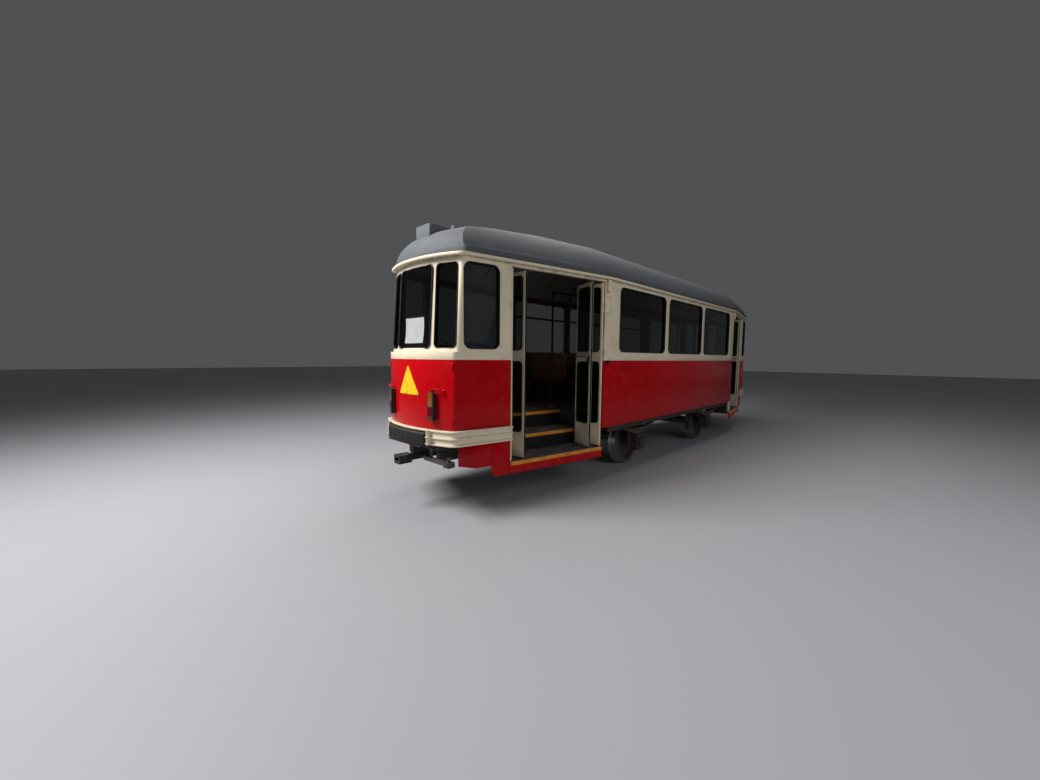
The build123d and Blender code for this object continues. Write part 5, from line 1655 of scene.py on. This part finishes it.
class TRAM_OT_interior(bpy.types.Operator):
    """Floor slats, ceiling ribs and lamps, straps, rail feet and the hand brake's small parts"""

    bl_idname = "tram.interior"
    bl_label = "Interior"

    def execute(self, context):
        for name, (length, middles, start) in SLATS.items():
            rows = [(x, start + SLAT_PITCH * i) for x in middles for i in range(SLAT_COUNT)]
            points = [(Vector((x, y, FLOOR_TOP + 0.003)), ALONG) for x, y in rows]
            bars(name + "_slats", points, length, 0.03, 0.007, "floor_wood")
        vault = surface("roof")

        def ceiling(x, y):
            return vault.ray_cast(Vector((x, y, FLOOR_TOP + 1.0)), UP)[0]

        across = [2 * i / RIB_STEPS - 1 for i in range(RIB_STEPS + 1)]
        ribs = [[ceiling(x, (wall_line(x) - RIB_MARGIN) * part) for part in across] for x in CEILING_RIBS]
        tubes("ceiling_ribs", ribs, 0.012, "lining_wood", sides=8)
        lamps = [(ceiling(x, 0.0), -UP) for x in CEILING_LAMPS]
        turned("ceiling_lamp_rims", lamps, "brass", 32)
        turned("ceiling_lamps", lamps, "opal_glass", 32)
        rail_fittings()
        brake_fittings()
        return {"FINISHED"}


def hub_bolts(end, side, gear):
    """Bolts round each wheel's hub, found on the wheel's own face."""
    wheel = surface(f"wheelset_{end}")
    points = []
    for hand in HANDS:
        middle = Vector((side * gear.half_wheelbase, hand * 1.5, gear.axle_height))
        for u, v in ring(8, HUB_CIRCLE):
            place = wheel.ray_cast(middle + ALONG * u + UP * v, ACROSS * -hand)[0]
            points.append((place, ACROSS * hand))
    heads(f"hub_bolts_{end}", points, "frame_metal", "hub_bolts", slot="wheel_steel", body=f"wheelset_{end}")


class TRAM_OT_gear(bpy.types.Operator):
    """Bolts, rivets and spring clips below the floor"""

    bl_idname = "tram.gear"
    bl_label = "Gear"

    def execute(self, context):
        gear = context.scene.tram_gear
        bolts, rivets, clips, pins = [], [], [], []
        springs = surface("leaf_springs")
        for hand in HANDS:
            out = ACROSS * hand
            rivets += [(Vector((x, hand * SOLE_BAR_FACE, RIVET_LINE)), out) for x in RIVET_PLACES]
            for _, side in ENDS:
                axle = Vector((side * gear.half_wheelbase, hand * AXLEBOX_FACE, gear.axle_height))
                bolts += [(axle + ALONG * u + UP * v, out) for u, v in ring(6, AXLEBOX_CIRCLE, 0.5)]
                pins.append((axle, out))
                for x in [axle.x + run for run in SPRING_CLIPS]:
                    top = springs.ray_cast(Vector((x, hand * SPRING_LINE, 1.2)), -UP)[0]
                    low = springs.ray_cast(Vector((x, hand * SPRING_LINE, 0.0)), UP)[0]
                    clips.append(upright(((top + low) / 2, out), 0.026, (top - low).length + 0.012, 0.082))
        heads("axlebox_bolts", bolts, "frame_metal")
        turned("axlebox_plugs", pins, "frame_metal", 24)
        heads("sole_bar_rivets", rivets, "frame_metal")
        slabs("spring_clips", clips, "spring_metal", 0.004)
        for end, side in ENDS:
            hub_bolts(end, side, gear)
        link = [(Vector((LINK_FACE, y, LINK_LINE)), -ALONG) for y in LINK_BOLTS]
        heads("link_bolts", link, "frame_metal")
        return {"FINISHED"}


class TRAM_PT_panel(bpy.types.Panel):
    """Everything that dresses the car"""

    bl_idname = "TRAM_PT_panel"
    bl_label = "Tram trailer car"
    bl_space_type = "VIEW_3D"
    bl_region_type = "UI"
    bl_category = "Tram"

    def draw(self, context):
        for name, group in GROUPS.items():
            for prop in group.__annotations__:
                self.layout.prop(getattr(context.scene, name), prop)
        for operator in OPERATORS:
            self.layout.operator(operator.bl_idname)


GROUPS = {"tram_paint": TramPaint, "tram_gear": TramGear, "tram_view": TramView, "tram_trim": TramTrim}
OPERATORS = (
    TRAM_OT_stage,
    TRAM_OT_materials,
    TRAM_OT_walls,
    TRAM_OT_roof,
    TRAM_OT_glazing,
    TRAM_OT_doors,
    TRAM_OT_ends,
    TRAM_OT_end_fittings,
    TRAM_OT_steps,
    TRAM_OT_seats,
    TRAM_OT_interior,
    TRAM_OT_gear,
)


def register():
    """Registers the classes and hangs the settings on the scene."""
    for cls in (*GROUPS.values(), *OPERATORS, TRAM_PT_panel):
        bpy.utils.register_class(cls)
    for name, group in GROUPS.items():
        setattr(bpy.types.Scene, name, PointerProperty(type=group))


def unregister():
    """Takes the settings and the classes away again."""
    for name in GROUPS:
        delattr(bpy.types.Scene, name)
    for cls in (TRAM_PT_panel, *reversed(OPERATORS), *reversed(tuple(GROUPS.values()))):
        bpy.utils.unregister_class(cls)


def main():
    """Builds every piece in order."""
    register()
    FINISH.update(build_finishes(bpy.context.scene))
    for operator in OPERATORS:
        group, name = operator.bl_idname.split(".")
        getattr(getattr(bpy.ops, group), name)()


if __name__ == "__main__":
    main()
